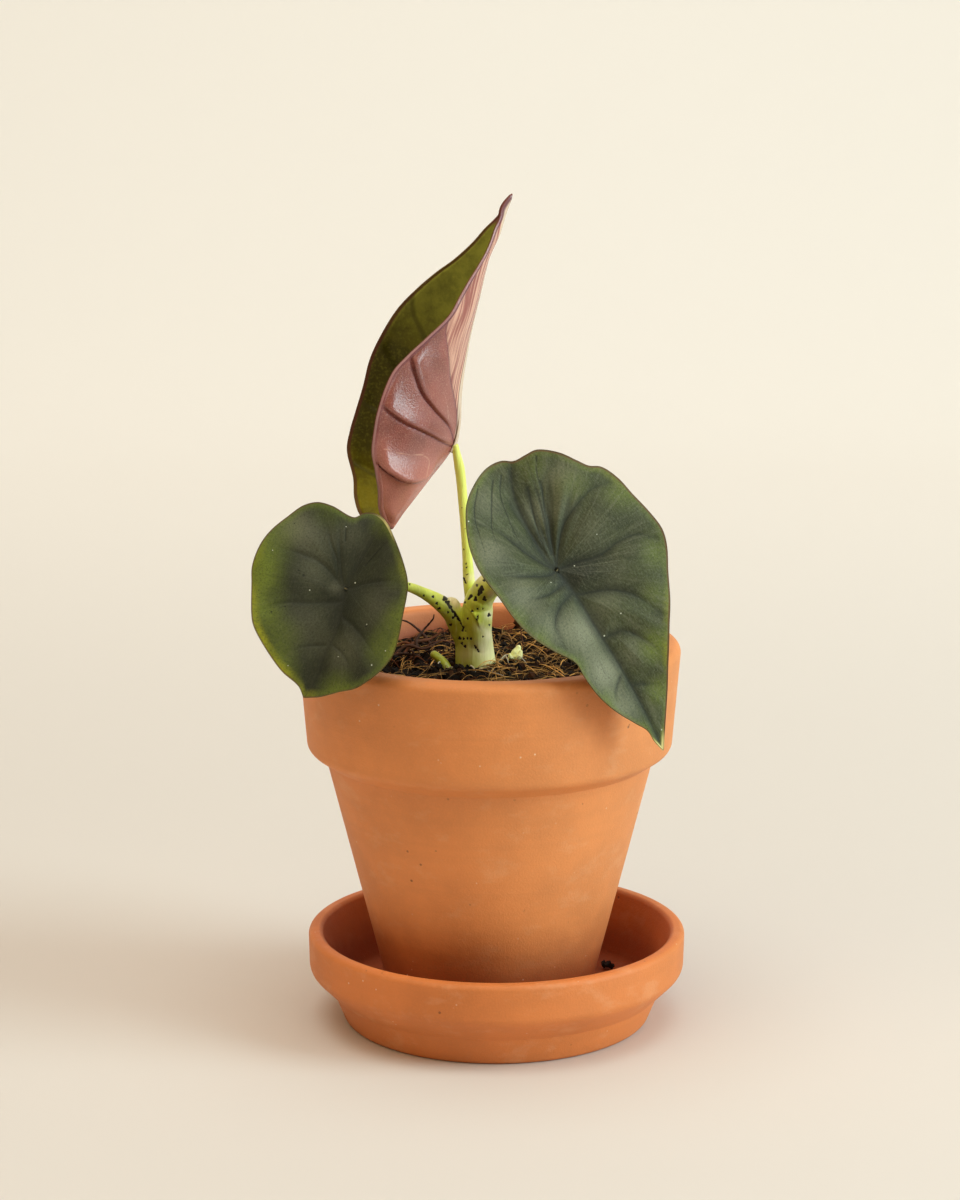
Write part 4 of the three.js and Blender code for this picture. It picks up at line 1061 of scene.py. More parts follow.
def leaf_back(name, shade, vein_shade):
    """Matte underside of a grown leaf, with paler ribs."""
    leaf = Shader(name, {"Roughness": 0.6, "Specular IOR Level": 0.35})
    place = leaf.field("leaf_place", vector=True)
    vein = leaf.fields("leaf_veins")[0]
    net = leaf.fade(leaf.cells(place, 0.55, "DISTANCE_TO_EDGE"), 0.12, 0.02)
    body = leaf.layered(
        leaf.mottled(leaf.fade(leaf.noise(place, 0.2, 3), 0.3, 0.7), shade, 0.85, 1.12),
        (net * 0.22, vein_shade),
        (leaf.fade(vein, 1.3, 0.5) * 0.75, vein_shade),
    )
    leaf.set(Base_Color=body, Normal=leaf.bump(leaf.noise(place, 6, 3), 0.0001))
    return leaf.material


# Youngest blade


# The youngest blade is a sheet folded along its keel. Its lines are in millimetres from its seat.
YOUNG_SEAT = (-11.6, 2, 166.8)
YOUNG_BULGE = 2.6
YOUNG_LINES = {
    "keel": [
        (-18.2, -5, -22.6), (-15.9, -4, -19), (-12.1, -2.5, -14.2), (-7.1, -1, -7.9), (-2.9, -0.2, -2.6),
        (-0.9, 0, 0.8), (0.4, 0.4, 6.5), (1.0, 0.8, 15.1), (2.3, 1, 23.6), (3.9, 1, 32.2), (6.4, 0.8, 42.8),
        (9.0, 0.2, 53.5), (11.7, -0.6, 59.5), (13.0, -1.4, 63.8), (13.9, -1.8, 66.7), (14.9, -2, 69.1),
        (15.4, -2, 70.8),
    ],
    "near": [
        (-18.2, -5, -22.6), (-20.1, -7.5, -19.8), (-21.4, -10.5, -15.8), (-21.5, -14.5, -9.5),
        (-22.2, -17.5, -3.6), (-23, -19, 1.7), (-22.4, -20, 7.7), (-21.3, -20.5, 13.4),
        (-17.4, -19, 23.4), (-13.6, -17.5, 27.6), (-8.1, -15.5, 32.6), (-1.9, -13, 38.6), (1.0, -11.2, 43.6),
        (3.4, -9.6, 47.7), (6, -8, 51.8), (8.1, -6.6, 55.4), (9.5, -5.4, 58.5), (10.7, -4.3, 61.7),
        (11.6, -3.6, 63.3), (12.2, -3.2, 65), (12.5, -3, 66.7), (13.4, -2.7, 68.4), (14.7, -2.3, 70),
        (15.4, -2, 70.8),
    ],
    "far": [
        (-18.2, -5, -22.6), (-23.7, -0.5, -22.3), (-27.2, 3, -19.8), (-28.7, 5.5, -15.6),
        (-29, 7.5, -10.5), (-30.8, 9.5, -2.5), (-29.9, 10.2, 2.8), (-28.2, 10.5, 8.5),
        (-26.2, 10.5, 15.1), (-24.1, 10, 23.2), (-20.7, 9.2, 30.4), (-16.1, 8, 37.7), (-10.5, 6.6, 43.6),
        (-5.2, 5.2, 48.2), (-0.4, 4, 51.8), (4.8, 2.6, 56.7), (8.1, 1.4, 60.6), (11, 0, 63.6),
        (12.1, -1.2, 64.9), (12.4, -1.6, 66.5), (13.3, -1.8, 68.3), (14.7, -1.9, 70), (15.4, -2, 70.8),
    ],
}
# Each vein has a half width and places from the keel to a margin: how far up the blade and across its half.
YOUNG_VEINS = [
    (0.55, [(0.29, 0), (0.34, 0.03), (0.38, 0.06), (0.46, 0.235), (0.555, 0.55), (0.61, 0.8), (0.66, 0.99)]),
    (0.55, [
        (0.285, 0), (0.33, 0.133), (0.375, 0.4), (0.415, 0.6), (0.455, 0.733), (0.495, 0.883), (0.52, 0.99),
    ]),
    (0.55, [(0.28, 0), (0.295, 0.217), (0.32, 0.517), (0.34, 0.75), (0.365, 0.933), (0.375, 0.99)]),
    (0.4, [(0.22, 0.02), (0.185, 0.2), (0.18, 0.367), (0.185, 0.65), (0.205, 0.833), (0.225, 0.98)]),
]
# How much each cell under a vein leans out.
CELL_LEAN = [1, 1, 1.5, 1]
YOUNG_PALE_VEINS = [
    (0.3, [(0.2, 0.3), (0.235, 0.3), (0.262, 0.42), (0.262, 0.6), (0.27, 0.9)]),
    (0.25, [(0.36, 0.2), (0.4, 0.25), (0.44, 0.36)]),
]
# Where the midrib starts and ends along the keel, and its radii.
MIDRIB_SPAN = (0.262, 0.88)
MIDRIB_RADII = [1.3, 0.85, 0.6, 0.5, 0.4, 0.2]
YOUNG_ROWS = 210
YOUNG_COLUMNS = 64


def half_sheet(keel, margin, outward_sign):
    """Half of the folded blade: a grid from the keel to one margin, bulging away from the other half."""
    along = unit(np.gradient(keel, axis=0))
    across = margin - keel
    outward = unit(np.cross(along, across)) * outward_sign
    part = np.linspace(0, 1, YOUNG_COLUMNS + 1)[None, :, None]
    width = np.linalg.norm(across, axis=1)
    swell = YOUNG_BULGE * np.sin(math.pi * part) * (np.minimum(1, width / 24) ** 1.4)[:, None, None]
    return keel[:, None] + across[:, None] * part + outward[:, None] * swell, outward


def place_on_sheet(sheet, up, across):
    """The point of a half sheet at a place given as parts, from 0 to 1, of its length and breadth."""
    row = min(max(up, 0), 1) * (sheet.shape[0] - 1)
    column = min(max(across, 0), 1) * (sheet.shape[1] - 1)
    i = min(int(row), sheet.shape[0] - 2)
    j = min(int(column), sheet.shape[1] - 2)
    u, v = row - i, column - j
    low = sheet[i, j] * (1 - v) + sheet[i, j + 1] * v
    high = sheet[i + 1, j] * (1 - v) + sheet[i + 1, j + 1] * v
    return low * (1 - u) + high * u


def path_on_sheet(sheet, controls):
    return np.array([place_on_sheet(sheet, *place) for place in evenly(spline(controls), 40)])


def parts_of_sheet(sheet):
    """How far up the blade and how far across its half each point of a half sheet is, from 0 to 1."""
    rows, columns = sheet.shape[:2]
    return np.repeat(np.linspace(0, 1, rows), columns), np.tile(np.linspace(0, 1, columns), rows)


def sheet_lines(sheet, lines):
    """Distance of a half sheet's points to the nearest line, in line widths."""
    widths = np.full(sheet.shape[0] * sheet.shape[1], np.inf)
    for width, controls in lines:
        distance, along = distance_to_line(sheet.reshape(-1, 3), path_on_sheet(sheet, controls))
        widths = np.minimum(widths, distance / (width * (1 - 0.35 * along)))
    return widths


def cell_ramp(sheet):
    """How far each cell between the veins leans out: 0 at the vein above it, most at the vein below it."""
    flat = sheet.reshape(-1, 3)
    up, across = parts_of_sheet(sheet)
    foot = np.array([place_on_sheet(sheet, 0.01, 0.5), place_on_sheet(sheet, 0.01, 0.6)])
    borders = [path_on_sheet(sheet, controls) for _, controls in YOUNG_VEINS]
    apart = [distance_to_line(flat, border)[0] for border in [*borders, foot]]
    heights = [np.interp(across, *np.array(controls).T[::-1]) for _, controls in YOUNG_VEINS]
    heights.append(np.zeros(len(flat)))
    ramp = np.zeros(len(flat))
    for k, lean in enumerate(CELL_LEAN):
        inside = (up < heights[k]) & (up >= heights[k + 1])
        breadth = apart[k] + apart[k + 1]
        part = apart[k] / np.maximum(breadth, 1e-6)
        ramp[inside] = (lean * part**3 * np.minimum(1.5, breadth / 9.5))[inside]
    return ramp


def half_fields(sheet, outward):
    """The half sheet puffed out between its veins, with the fields that its finish reads."""
    widths = sheet_lines(sheet, YOUNG_VEINS)
    pale = sheet_lines(sheet, YOUNG_PALE_VEINS)
    columns = sheet.shape[1]
    up, part = parts_of_sheet(sheet)
    breadth = np.repeat(np.linalg.norm(sheet[:, -1] - sheet[:, 0], axis=1), columns)
    margin = (1 - part) * breadth
    rib = part * breadth
    first_vein = np.array(YOUNG_VEINS[0][1])
    strip = (np.interp(up, first_vein[:, 0], first_vein[:, 1], left=-1, right=1.2) - part) * breadth
    cell = cell_ramp(sheet) * smooth(margin, 0, 4) * smooth(rib, 0, 6)
    puff = 1.1 * cell * smooth(widths, 0.2, 2.6) - 0.14 * np.exp(-(widths**2)) * smooth(margin, 0, 3)
    puff += 0.4 * np.exp(-(((margin - 0.45) / 0.5) ** 2)) * np.minimum(1, breadth / 8)
    fields = {
        "young_place": np.column_stack([rib, up * 100, margin]),
        "young_veins": np.column_stack([widths, pale, strip]),
        "young_puff": cell,
    }
    return sheet.reshape(-1, 3) + np.repeat(outward, columns, axis=0) * puff[:, None], fields


def young_blade(finishes):
    """The youngest blade: two half sheets that meet at the keel, its underside and its midrib."""
    keel, near, far = (evenly(spline(YOUNG_LINES[key]), YOUNG_ROWS)[1:-1] for key in ("keel", "near", "far"))
    near_sheet, near_out = half_sheet(keel, near, 1)
    far_sheet, far_out = half_sheet(keel, far, -1)
    near_points, near_fields = half_fields(near_sheet, near_out)
    far_points, far_fields = half_fields(far_sheet, far_out)
    rows, columns = near_sheet.shape[:2]
    width = 2 * columns - 1
    keep = np.arange(rows * columns).reshape(rows, columns)
    mirrored = keep[:, :0:-1]
    surface = np.concatenate([
        np.concatenate([far_points[mirrored], near_points[keep]], axis=1).reshape(-1, 3),
        np.array([YOUNG_LINES["keel"][0], YOUNG_LINES["keel"][-1]], float),
    ])
    fields = {}
    for key in near_fields:
        shape = (-1, *near_fields[key].shape[1:])
        both = np.concatenate([far_fields[key][mirrored], near_fields[key][keep]], axis=1).reshape(shape)
        fields[key] = np.concatenate([both, both[:1], both[-1:]])
    faces = grid_faces(rows, width)
    first, last = rows * width, rows * width + 1
    for j in range(width - 1):
        faces.append([first, j + 1, j])
        faces.append([last, (rows - 1) * width + j, (rows - 1) * width + j + 1])
    middle = (rows // 2) * width + columns - 1 + columns // 2
    if surface_normals(surface, faces)[middle] @ near_out[rows // 2] > 0:
        faces = [face[::-1] for face in faces]
    right = [i * width + width - 1 for i in range(rows)]
    left = [i * width for i in range(rows - 1, -1, -1)]
    edge = np.array([first, *right, last, *left])
    thickness = 0.75 - 0.25 * np.exp(-fields["young_place"][:, 2] / 1.2)
    sheet = two_faced(surface, faces, edge, thickness, np.zeros(len(surface)), fields, swell=0.22)
    points, faces, fields, finish = with_midrib(sheet, young_midrib(keel, near_out + far_out))
    return make_piece("young_leaf", points + np.array(YOUNG_SEAT), faces, finishes, fields, finish)


def young_midrib(keel, outward):
    """The round midrib up the outside of the fold, with a flat inner side that stays out of the fold."""
    span = slice(*(round(part * len(keel)) for part in MIDRIB_SPAN))
    path = keel[span] + unit(outward[span]) * 0.1
    points, faces = stalk_mesh(path[::6], MIDRIB_RADII, 70, 16, dome=True)
    nearest = np.linalg.norm(points[:, None] - keel, axis=2).argmin(axis=1)
    outward = unit(outward)[nearest]
    depth = ((points - keel[nearest]) * outward).sum(axis=1)
    points = points + outward * np.maximum(0.2 - depth, 0)[:, None]
    fields = {"young_place": (0.3, 50, 6), "young_veins": (9, 9, 3)}
    fields = {key: np.tile(values, (len(points), 1)) for key, values in fields.items()}
    return points, faces, {**fields, "young_puff": np.zeros(len(points))}


def with_midrib(sheet, midrib):
    """A two-faced sheet together with its midrib, which takes the underside's finish."""
    points, faces, fields, finish = sheet
    more_points, more_faces, more_fields = midrib
    faces = faces + [[v + len(points) for v in face] for face in more_faces]
    fields = {key: np.concatenate([values, more_fields[key]]) for key, values in fields.items()}
    finish = np.concatenate([finish, np.ones(len(more_faces), np.int32)])
    return np.vstack([points, more_points]), faces, fields, finish


def young_underside(settings):
    """Glossy pink underside: puffed cells, purple veins, a paler streaked strip beside the midrib."""
    leaf = Shader("young_leaf_underside", {"Specular IOR Level": 0.62})
    rib, up, margin = leaf.fields("young_place")
    vein, pale, strip = leaf.fields("young_veins")
    spot = leaf.place()
    cloud = leaf.noise(spot, 130, 3)
    fine = leaf.noise(spot, 2600, 3, 0.7)
    streak = leaf.noise(leaf.stretched(leaf.field("young_place", vector=True), (1.1, 0.035, 0)), 1, 4, 0.6)
    shade, light, purple = tuple(settings.underside), tuple(settings.strip), tuple(settings.vein)
    paler = leaf.mix(leaf.fade(streak, 0.36, 0.62), bare(shade, 1.25), bare(light, 1.12))
    seam = leaf.fade(rib, 1.15, 1.35) * leaf.fade(rib, 1.75, 1.5)
    seam = seam * leaf.fade(up, 30, 38) * leaf.fade(up, 88, 80)
    body = leaf.layered(
        leaf.mottled(leaf.fade(cloud, 0.32, 0.68), shade, 0.8, 1.14),
        (leaf.fade(rib, 16, 4) * 0.35, tone(196, 118, 104)),
        # Lighter pink low on the blade: its own tone, partly painted sheen.
        (leaf.fade(up, 34, 12) * (0.6 + 0.6 * cloud), tone(218, 140, 124)),
        (leaf.fade(fine, 0.5, 0.72) * 0.3, bare(light, 1.1)),
        (leaf.fade(fine, 0.44, 0.3) * 0.35, bare(shade, 0.55)),
        (leaf.fade(strip, -0.25, 0.35) * 0.94, paler),
        (leaf.fade(rib, 1.5, 1.2) * leaf.fade(up, 29, 34), tone(226, 198, 172)),
        (seam * 0.8, tone(120, 74, 58)),
        (leaf.fade(pale, 1.3, 0.3) * 0.45, bare(light, 1.05)),
        (leaf.fade(vein, 3.2, 0.8) * 0.22, bare(purple, 1.8)),
        (leaf.fade(vein, 0.85, 0.35) * 0.75, purple),
        (leaf.fade(margin, 1.3, 0.5) * (0.4 + 0.5 * leaf.fade(up, 40, 62)), bare(purple, 1.3)),
        (leaf.fade(margin, 0.42, 0.3) * 0.7, tuple(settings.rim)),
        (leaf.fade(up, 90, 95) * leaf.fade(margin, 1.4, 0.3) * 0.6, bare(purple, 1.1)),
    )
    swell = leaf.field("young_puff") * leaf.fade(vein, 0.3, 2.4) + 0.75 * leaf.fade(margin, 0, 12)
    relief = leaf.bump(fine - 0.7 * leaf.cells(spot, 1900), 0.00006, leaf.bump(swell, 0.001))
    leaf.set(Base_Color=body, Roughness=0.17 + 0.1 * fine, Normal=relief)
    return leaf.material


def young_inside(settings):
    """Olive upper face of the youngest leaf, yellower where the light comes through near its foot and tip."""
    leaf = Shader("young_leaf_inside", {"Specular IOR Level": 0.2})
    _, up, margin = leaf.fields("young_place")
    vein = leaf.fields("young_veins")[0]
    spot = leaf.place()
    cloud = leaf.noise(spot, 120, 4)
    fine = leaf.noise(spot, 1400, 3)
    shade, high = tuple(settings.inside), tuple(settings.high)
    body = leaf.layered(
        leaf.mottled(leaf.fade(cloud, 0.3, 0.7), shade, 0.72, 1.3),
        # Painted light that comes through the blade towards its tip.
        (leaf.fade(up, 44, 74) * (0.5 + 0.5 * cloud), high),
        # Painted light that comes through the blade near its foot.
        (leaf.fade(up, 30, 12) * (0.55 + 0.6 * cloud), tuple(settings.low)),
        (leaf.fade(up, 22, 34) * leaf.fade(up, 62, 46) * 0.5, bare(shade, 0.35)),
        (leaf.fade(leaf.noise(spot, 240, 4, 0.65), 0.56, 0.32) * 0.4, bare(shade, 0.6)),
        (leaf.fade(fine, 0.45, 0.75) * 0.2, bare(high, 1.2)),
        (leaf.fade(vein, 3.2, 0.4) * 0.5, bare(shade, 0.4)),
        (leaf.fade(margin, 0.9, 0.4) * 0.7, tone(96, 44, 36)),
        (leaf.fade(up, 90, 93) * 0.85, tone(120, 66, 62)),
    )
    leaf.set(Base_Color=body, Roughness=0.52 + 0.14 * fine, Normal=leaf.bump(fine, 0.0001))
    return leaf.material


# Potting mix


# Height of the mix at the pot's wall, the stem's foot, and the size and scale of each kind of lump.
MIX_LEVEL = 101.6
STEM_FOOT = (-5.8, 5)
LUMPS = ((1.2, 0.17), (0.7, 0.5), (0.35, 1.5))
# Radius and height of the mix's sides, floor and plug in the drain hole, from the wall's bend down.
MIX_SIDES = ((41.2, 78), (24.2, 15.3), (22.2, 13.3), (5.7, 13.3), (5.7, 7.5))
# The height at which the mix and its fibres come nearest to the pot's wall, and the gap that they leave.
MIX_EDGE = (102, 0.35)
FIBRE_EDGE = (104, 1.2)
# How far from the pot's axis crumbs and fibres start, and how many loose strands of bark there are.
CRUMB_REACH = 43.5
FIBRE_REACH = 43
LOOSE_STRANDS = 44


def wall_radius(z):
    """Radius of the pot's inside at a height."""
    (lip, lip_z), (bend, bend_z), (foot, foot_z) = (corner[:2] for corner in POT_CORNERS[5:8])
    upper = bend + (z - bend_z) * (lip - bend) / (lip_z - bend_z)
    return np.where(z > bend_z, upper, foot + (z - foot_z) * (bend - foot) / (bend_z - foot_z))


def mix_height(x, y):
    """Height of the mix at a place from the pot's axis: a mound round the stem and a rise at the back."""
    mound = 1.9 * np.exp(-((x + POT_X - STEM_FOOT[0]) ** 2 + (y - STEM_FOOT[1]) ** 2) / (2 * 15**2))
    back = 3.4 * smooth(y + 0.5 * x, 8, 46)
    waves = 0.6 * np.sin(0.31 * x + 0.5) * np.cos(0.37 * y) + 0.4 * np.sin(0.73 * x - 0.41 * y)
    return MIX_LEVEL + mound + back + waves


def rough(x, y, lumps):
    """Height of the lumps at a place."""
    places = ((size, Vector((x * scale, y * scale, 3.7))) for size, scale in lumps)
    return sum(size * noise.fractal(place, 0.9, 2.1, 3) for size, place in places)


def mix_top(x, y):
    """Height of the mix with its largest lumps."""
    return float(mix_height(x, y)) + rough(x, y, LUMPS[:1])


def mix_bed(finish):
    """The closed body of mix, with a crumbly top and its own sides and floor inside the pot."""
    spokes, rings = 240, 96
    height, gap = MIX_EDGE
    edge = float(wall_radius(height)) - gap
    angles = np.linspace(0, 2 * math.pi, spokes, endpoint=False)
    radii = edge * (np.arange(1, rings + 1) / rings) ** 0.85
    x = np.append(0, np.outer(radii, np.cos(angles)))
    y = np.append(0, np.outer(radii, np.sin(angles)))
    z = mix_height(x, y) + np.array([rough(a, b, LUMPS) for a, b in zip(x, y)])
    circle = np.column_stack([np.cos(angles), np.sin(angles)])
    lower = [np.column_stack([radius * circle, np.full(spokes, height)]) for radius, height in MIX_SIDES]
    points = np.vstack([np.column_stack([x, y, z]), *lower, [[0, 0, MIX_SIDES[-1][1]]]])
    rows = rings + len(lower)
    faces = [[0, 1 + j, 1 + (j + 1) % spokes] for j in range(spokes)]
    faces += [quad[::-1] for quad in grid_faces(rows, spokes, closed=True, first=1)]
    bottom = len(points) - 1
    start = 1 + (rows - 1) * spokes
    faces += [[bottom, start + (j + 1) % spokes, start + j] for j in range(spokes)]
    points[:, 0] += POT_X
    return make_piece("potting_mix", points, faces, [finish])


def scatter(rng, limit):
    """A random place within a radius of the pot's axis."""
    radius = limit * math.sqrt(rng.random())
    angle = 2 * math.pi * rng.random()
    return radius * math.cos(angle), radius * math.sin(angle)


GOLDEN = (1 + 5**0.5) / 2
# The corners and faces of a regular solid with twenty faces.
LUMP_CORNERS = np.array([
    (-1, GOLDEN, 0), (1, GOLDEN, 0), (-1, -GOLDEN, 0), (1, -GOLDEN, 0), (0, -1, GOLDEN), (0, 1, GOLDEN),
    (0, -1, -GOLDEN), (0, 1, -GOLDEN), (GOLDEN, 0, -1), (GOLDEN, 0, 1), (-GOLDEN, 0, -1), (-GOLDEN, 0, 1),
]) / math.hypot(1, GOLDEN)
LUMP_FACES = [
    (0, 11, 5), (0, 5, 1), (0, 1, 7), (0, 7, 10), (0, 10, 11), (1, 5, 9), (5, 11, 4), (11, 10, 2),
    (10, 7, 6), (7, 1, 8), (3, 9, 4), (3, 4, 2), (3, 2, 6), (3, 6, 8), (3, 8, 9), (4, 9, 5),
    (2, 4, 11), (6, 2, 10), (8, 6, 7), (9, 8, 1),
]


def lump(rng, size):
    """A small angular lump round the origin."""
    corners = LUMP_CORNERS * (0.75 + 0.5 * rng.random((12, 1))) * size
    corners = corners * np.array([1, 0.55 + 0.45 * rng.random(), 0.45 + 0.4 * rng.random()])
    spin, _ = np.linalg.qr(rng.normal(size=(3, 3)))
    if np.linalg.det(spin) < 0:
        spin[:, 0] *= -1
    return corners @ spin.T, LUMP_FACES


def loose_bits(name, finish, parts, shades, crease=None):
    """Many loose bits as one piece, each with its own shade."""
    points, faces = joined(parts)
    spread = np.concatenate([np.full(len(part), shade) for (part, _), shade in zip(parts, shades)])
    return make_piece(name, points, faces, [finish], {"shade": spread}, crease=crease)


def mix_crumbs(finish, count, rng):
    """Angular crumbs that lie on the mix."""
    parts, shades = [], []
    for _ in range(count):
        x, y = scatter(rng, CRUMB_REACH)
        size = 0.3 + 1.5 * rng.random() ** 3
        points, faces = lump(rng, size)
        parts.append((points + np.array([x + POT_X, y, mix_top(x, y) + 0.25 * size]), faces))
        shades.append(rng.random() ** 2.5)
    return loose_bits("mix_crumbs", finish, parts, shades, crease=30)


def fibre_path(rng, x, y, length, lift):
    """A coir fibre's path: nearly straight, it rests on the lumps of the mix and dips into it at its ends."""
    heading = 2 * math.pi * rng.random()
    curl = rng.normal() * 0.04
    steps = 7
    height, gap = FIBRE_EDGE
    limit = float(wall_radius(height)) - gap
    places = []
    for _ in range(steps + 1):
        excess = max(1, math.hypot(x, y) / limit)
        x, y = x / excess, y / excess
        places.append((x + POT_X, y, mix_top(x, y)))
        heading += curl + rng.normal() * 0.03
        x += length / steps * math.cos(heading)
        y += length / steps * math.sin(heading)
    places = np.array(places)
    part = np.linspace(0, 1, steps + 1)
    taut = places[0, 2] + (places[-1, 2] - places[0, 2]) * part + lift * np.sin(math.pi * part)
    places[:, 2] = np.maximum(taut, places[:, 2]) + 0.5 - 0.7 * np.abs(2 * part - 1) ** 3
    return places


def mix_fibres(finish, count, rng):
    """Coir fibres that lie on the mix, more of them on its right."""
    parts, shades = [], []
    for _ in range(count):
        x, y = scatter(rng, FIBRE_REACH)
        if rng.random() < 0.45:
            x = abs(x)
        length = 5 + 15 * rng.random() ** 1.4
        radius = 0.055 + 0.15 * rng.random() ** 2.2
        path = fibre_path(rng, x, y, length, 0.3 + 1.4 * rng.random() ** 2)
        parts.append(tube(path, np.linspace(radius, 0.55 * radius, len(path)), 5))
        shades.append(rng.random() ** 1.4)
    return loose_bits("coir_fibres", finish, parts, shades)


# The points of each root hair.
ROOTS = [
    [(-13.6, -1.2, 103.4), (-12.6, -2.4, 103.9), (-10.4, -3.4, 103.2), (-11.2, -5.4, 102.2)],
    [(-7.4, -1.6, 104.2), (-6.6, -3.4, 104), (-5.8, -5.6, 102.8)],
    [(-6.4, -1.9, 103.2), (-4.6, -4, 103.9), (-1.4, -5.2, 103.2), (2, -6.6, 102.4)],
    [(-2.6, -0.2, 103.6), (-1, -2.6, 103.4), (-1.6, -5, 102.4)],
    [(1.2, 3.6, 104), (2.6, 2.2, 106), (3.4, 1.6, 104.2)],
    [(0.6, 4.4, 103.8), (2.6, 5.6, 105.6), (4.8, 6.4, 105.2)],
    [(-14.6, 1.8, 103.2), (-16.4, 0.4, 104.8), (-16.8, -1.8, 103)],
    [(5.6, 5.4, 103.8), (6.6, 3.8, 105.6), (8.6, 2.6, 103.8)],
]


def fine_roots(finish):
    """Pale root hairs round the foot of the stem."""
    parts = [tube(evenly(spline(points), 20), np.linspace(0.2, 0.09, 21), 7) for points in ROOTS]
    return loose_bits("root_hairs", finish, parts, [0.8] * len(parts))


# The points and radii of the larger strands of bark, and last of a thin twig.
BARK = [
    ([(-24.5, 27, 103), (-22, 28, 107), (-18.4, 27, 111.6), (-18.2, 26, 113)], (0.5, 0.45, 0.3, 0.15)),
    ([(-18, 24, 102), (-20.5, 26, 106), (-26, 27, 110.6), (-30, 27, 111.4)], (0.4, 0.45, 0.3, 0.15)),
    ([(-27, 22, 102), (-24, 24, 105), (-19, 26, 105.8), (-15, 27, 108.4)], (0.55, 0.6, 0.4, 0.2)),
    ([(-30, 16, 102.5), (-26, 18, 105.5), (-21, 17, 104.8), (-16, 19, 107)], (0.45, 0.5, 0.4, 0.2)),
    ([(-32, 12, 102), (-28, 11, 104.6), (-22, 13, 103.6)], (0.5, 0.5, 0.25)),
    ([(-22, 20, 102), (-23.4, 22, 106), (-21, 24, 109)], (0.6, 0.5, 0.2)),
    ([(8, 22, 103.5), (7, 24, 110), (6.6, 25, 117)], (0.22, 0.2, 0.14)),
]


def bark_pieces(finish, rng):
    """Curled scraps and strands of bark that stand out of the mix at the back, and a thin dark twig."""
    strands = list(BARK)
    for _ in range(LOOSE_STRANDS):
        x, y = -30 + 26 * rng.random(), 4 + 28 * rng.random()
        foot = np.array([x, y, mix_top(x - POT_X, y)])
        step = rng.normal(size=3) * np.array([3.2, 2.2, 0.8]) + np.array([0, 0, 1.1])
        bend = rng.normal(size=3) * 1.2
        radius = 0.16 + 0.34 * rng.random() ** 2
        end = foot + 2 * step
        end[2] = foot[2] + 0.2 + 1.6 * rng.random()
        path = [foot - (0, 0, 0.6), foot + (0, 0, 0.7) + step + bend, end]
        strands.append((path, (radius, 0.9 * radius, 0.35 * radius)))
    parts, shades = [], []
    for points, radii in strands:
        path = evenly(spline(points), 18)
        parts.append(tube(path, spaced(radii, len(path)) * (0.75 + 0.5 * rng.random(len(path))), 7))
        shades.append(0.1 + 0.7 * rng.random() ** 2)
    return loose_bits("bark_scraps", finish, parts, shades)


def peat(shade):
    """Damp peat: near black, with brown crumbs and a rough, slightly wet surface."""
    soil = Shader("peat", {"Specular IOR Level": 0.12})
    place = soil.place()
    cloud = soil.noise(place, 260, 3)
    grit = soil.noise(place, 1400, 3, 0.7)
    body = soil.mottled(soil.fade(cloud, 0.35, 0.7), shade, 0.45, 1.5)
    body = soil.mix(soil.fade(grit, 0.6, 0.8) * 0.4, body, tone(84, 52, 30))
    soil.set(Base_Color=body, Roughness=0.95 - 0.3 * cloud, Normal=soil.bump(grit + cloud, 0.0006))
    return soil.material


def shaded(name, dark, light, scale, gloss):
    """Loose bits of one kind, each with its own shade between a dark and a light tone."""
    bits = Shader(name, {"Roughness": 0.7, "Specular IOR Level": gloss})
    grain = bits.noise(bits.place(), scale, 2)
    body = bits.mix(bits.field("shade"), dark, light)
    body = bits.mix(bits.fade(grain, 0.4, 0.75) * 0.5, body, bare(dark, 0.8))
    bits.set(Base_Color=body, Normal=bits.bump(grain, 0.0002))
    return bits.material


# Operators


class PlantOperator:
    bl_options = {"REGISTER", "UNDO"}


class PLANT_OT_saucer(PlantOperator, bpy.types.Operator):
    """Build the terracotta saucer"""

    bl_idname = "plant.saucer"
    bl_label = "Saucer"

    def execute(self, context):
        clay = context.scene.plant_clay
        finish = fired_clay("saucer_clay", tuple(clay.saucer), clay.grain, SAUCER_FOOT_SHADE, SAUCER_HOLLOW)
        piece = turned("clay_saucer", SAUCER_CORNERS, clay.sides, finish, closed=False, centre_x=0)
        stand_for(piece, "terracotta_saucer", "saucer")
        return {"FINISHED"}


class PLANT_OT_pot(PlantOperator, bpy.types.Operator):
    """Build the tapered terracotta pot"""

    bl_idname = "plant.pot"
    bl_label = "Pot"

    def execute(self, context):
        clay = context.scene.plant_clay
        finish = fired_clay("pot_clay", tuple(clay.pot), clay.grain, POT_FOOT_SHADE, POT_HOLLOW)
        piece = turned("clay_pot", POT_CORNERS, clay.sides, finish, closed=True, centre_x=POT_X)
        stand_for(piece, "terracotta_pot", "pot")
        return {"FINISHED"}


class PLANT_OT_mix(PlantOperator, bpy.types.Operator):
    """Build the potting mix with its crumbs, coir fibres and scraps of bark"""

    bl_idname = "plant.mix"
    bl_label = "Potting mix"

    def execute(self, context):
        soil = context.scene.plant_soil
        rng = np.random.default_rng(soil.seed)
        shade = tuple(soil.peat)
        stand_for(mix_bed(peat(shade)), "potting_mix", "soil")
        crumb_finish = shaded("peat_crumbs", bare(shade, 0.3), tone(74, 40, 12), scale=900, gloss=0.12)
        add_to_plant(mix_crumbs(crumb_finish, soil.crumbs, rng))
        fibre_finish = shaded("coir", bare(soil.coir, 0.09), tone(255, 190, 104), scale=500, gloss=0.25)
        add_to_plant(mix_fibres(fibre_finish, soil.fibres, rng))
        bark_finish = shaded("bark", tone(30, 17, 9), tone(150, 84, 42), scale=420, gloss=0.3)
        add_to_plant(bark_pieces(bark_finish, rng))
        root_finish = shaded("pale_roots", tone(150, 128, 96), tone(232, 220, 196), scale=600, gloss=0.4)
        add_to_plant(fine_roots(root_finish))
        return {"FINISHED"}


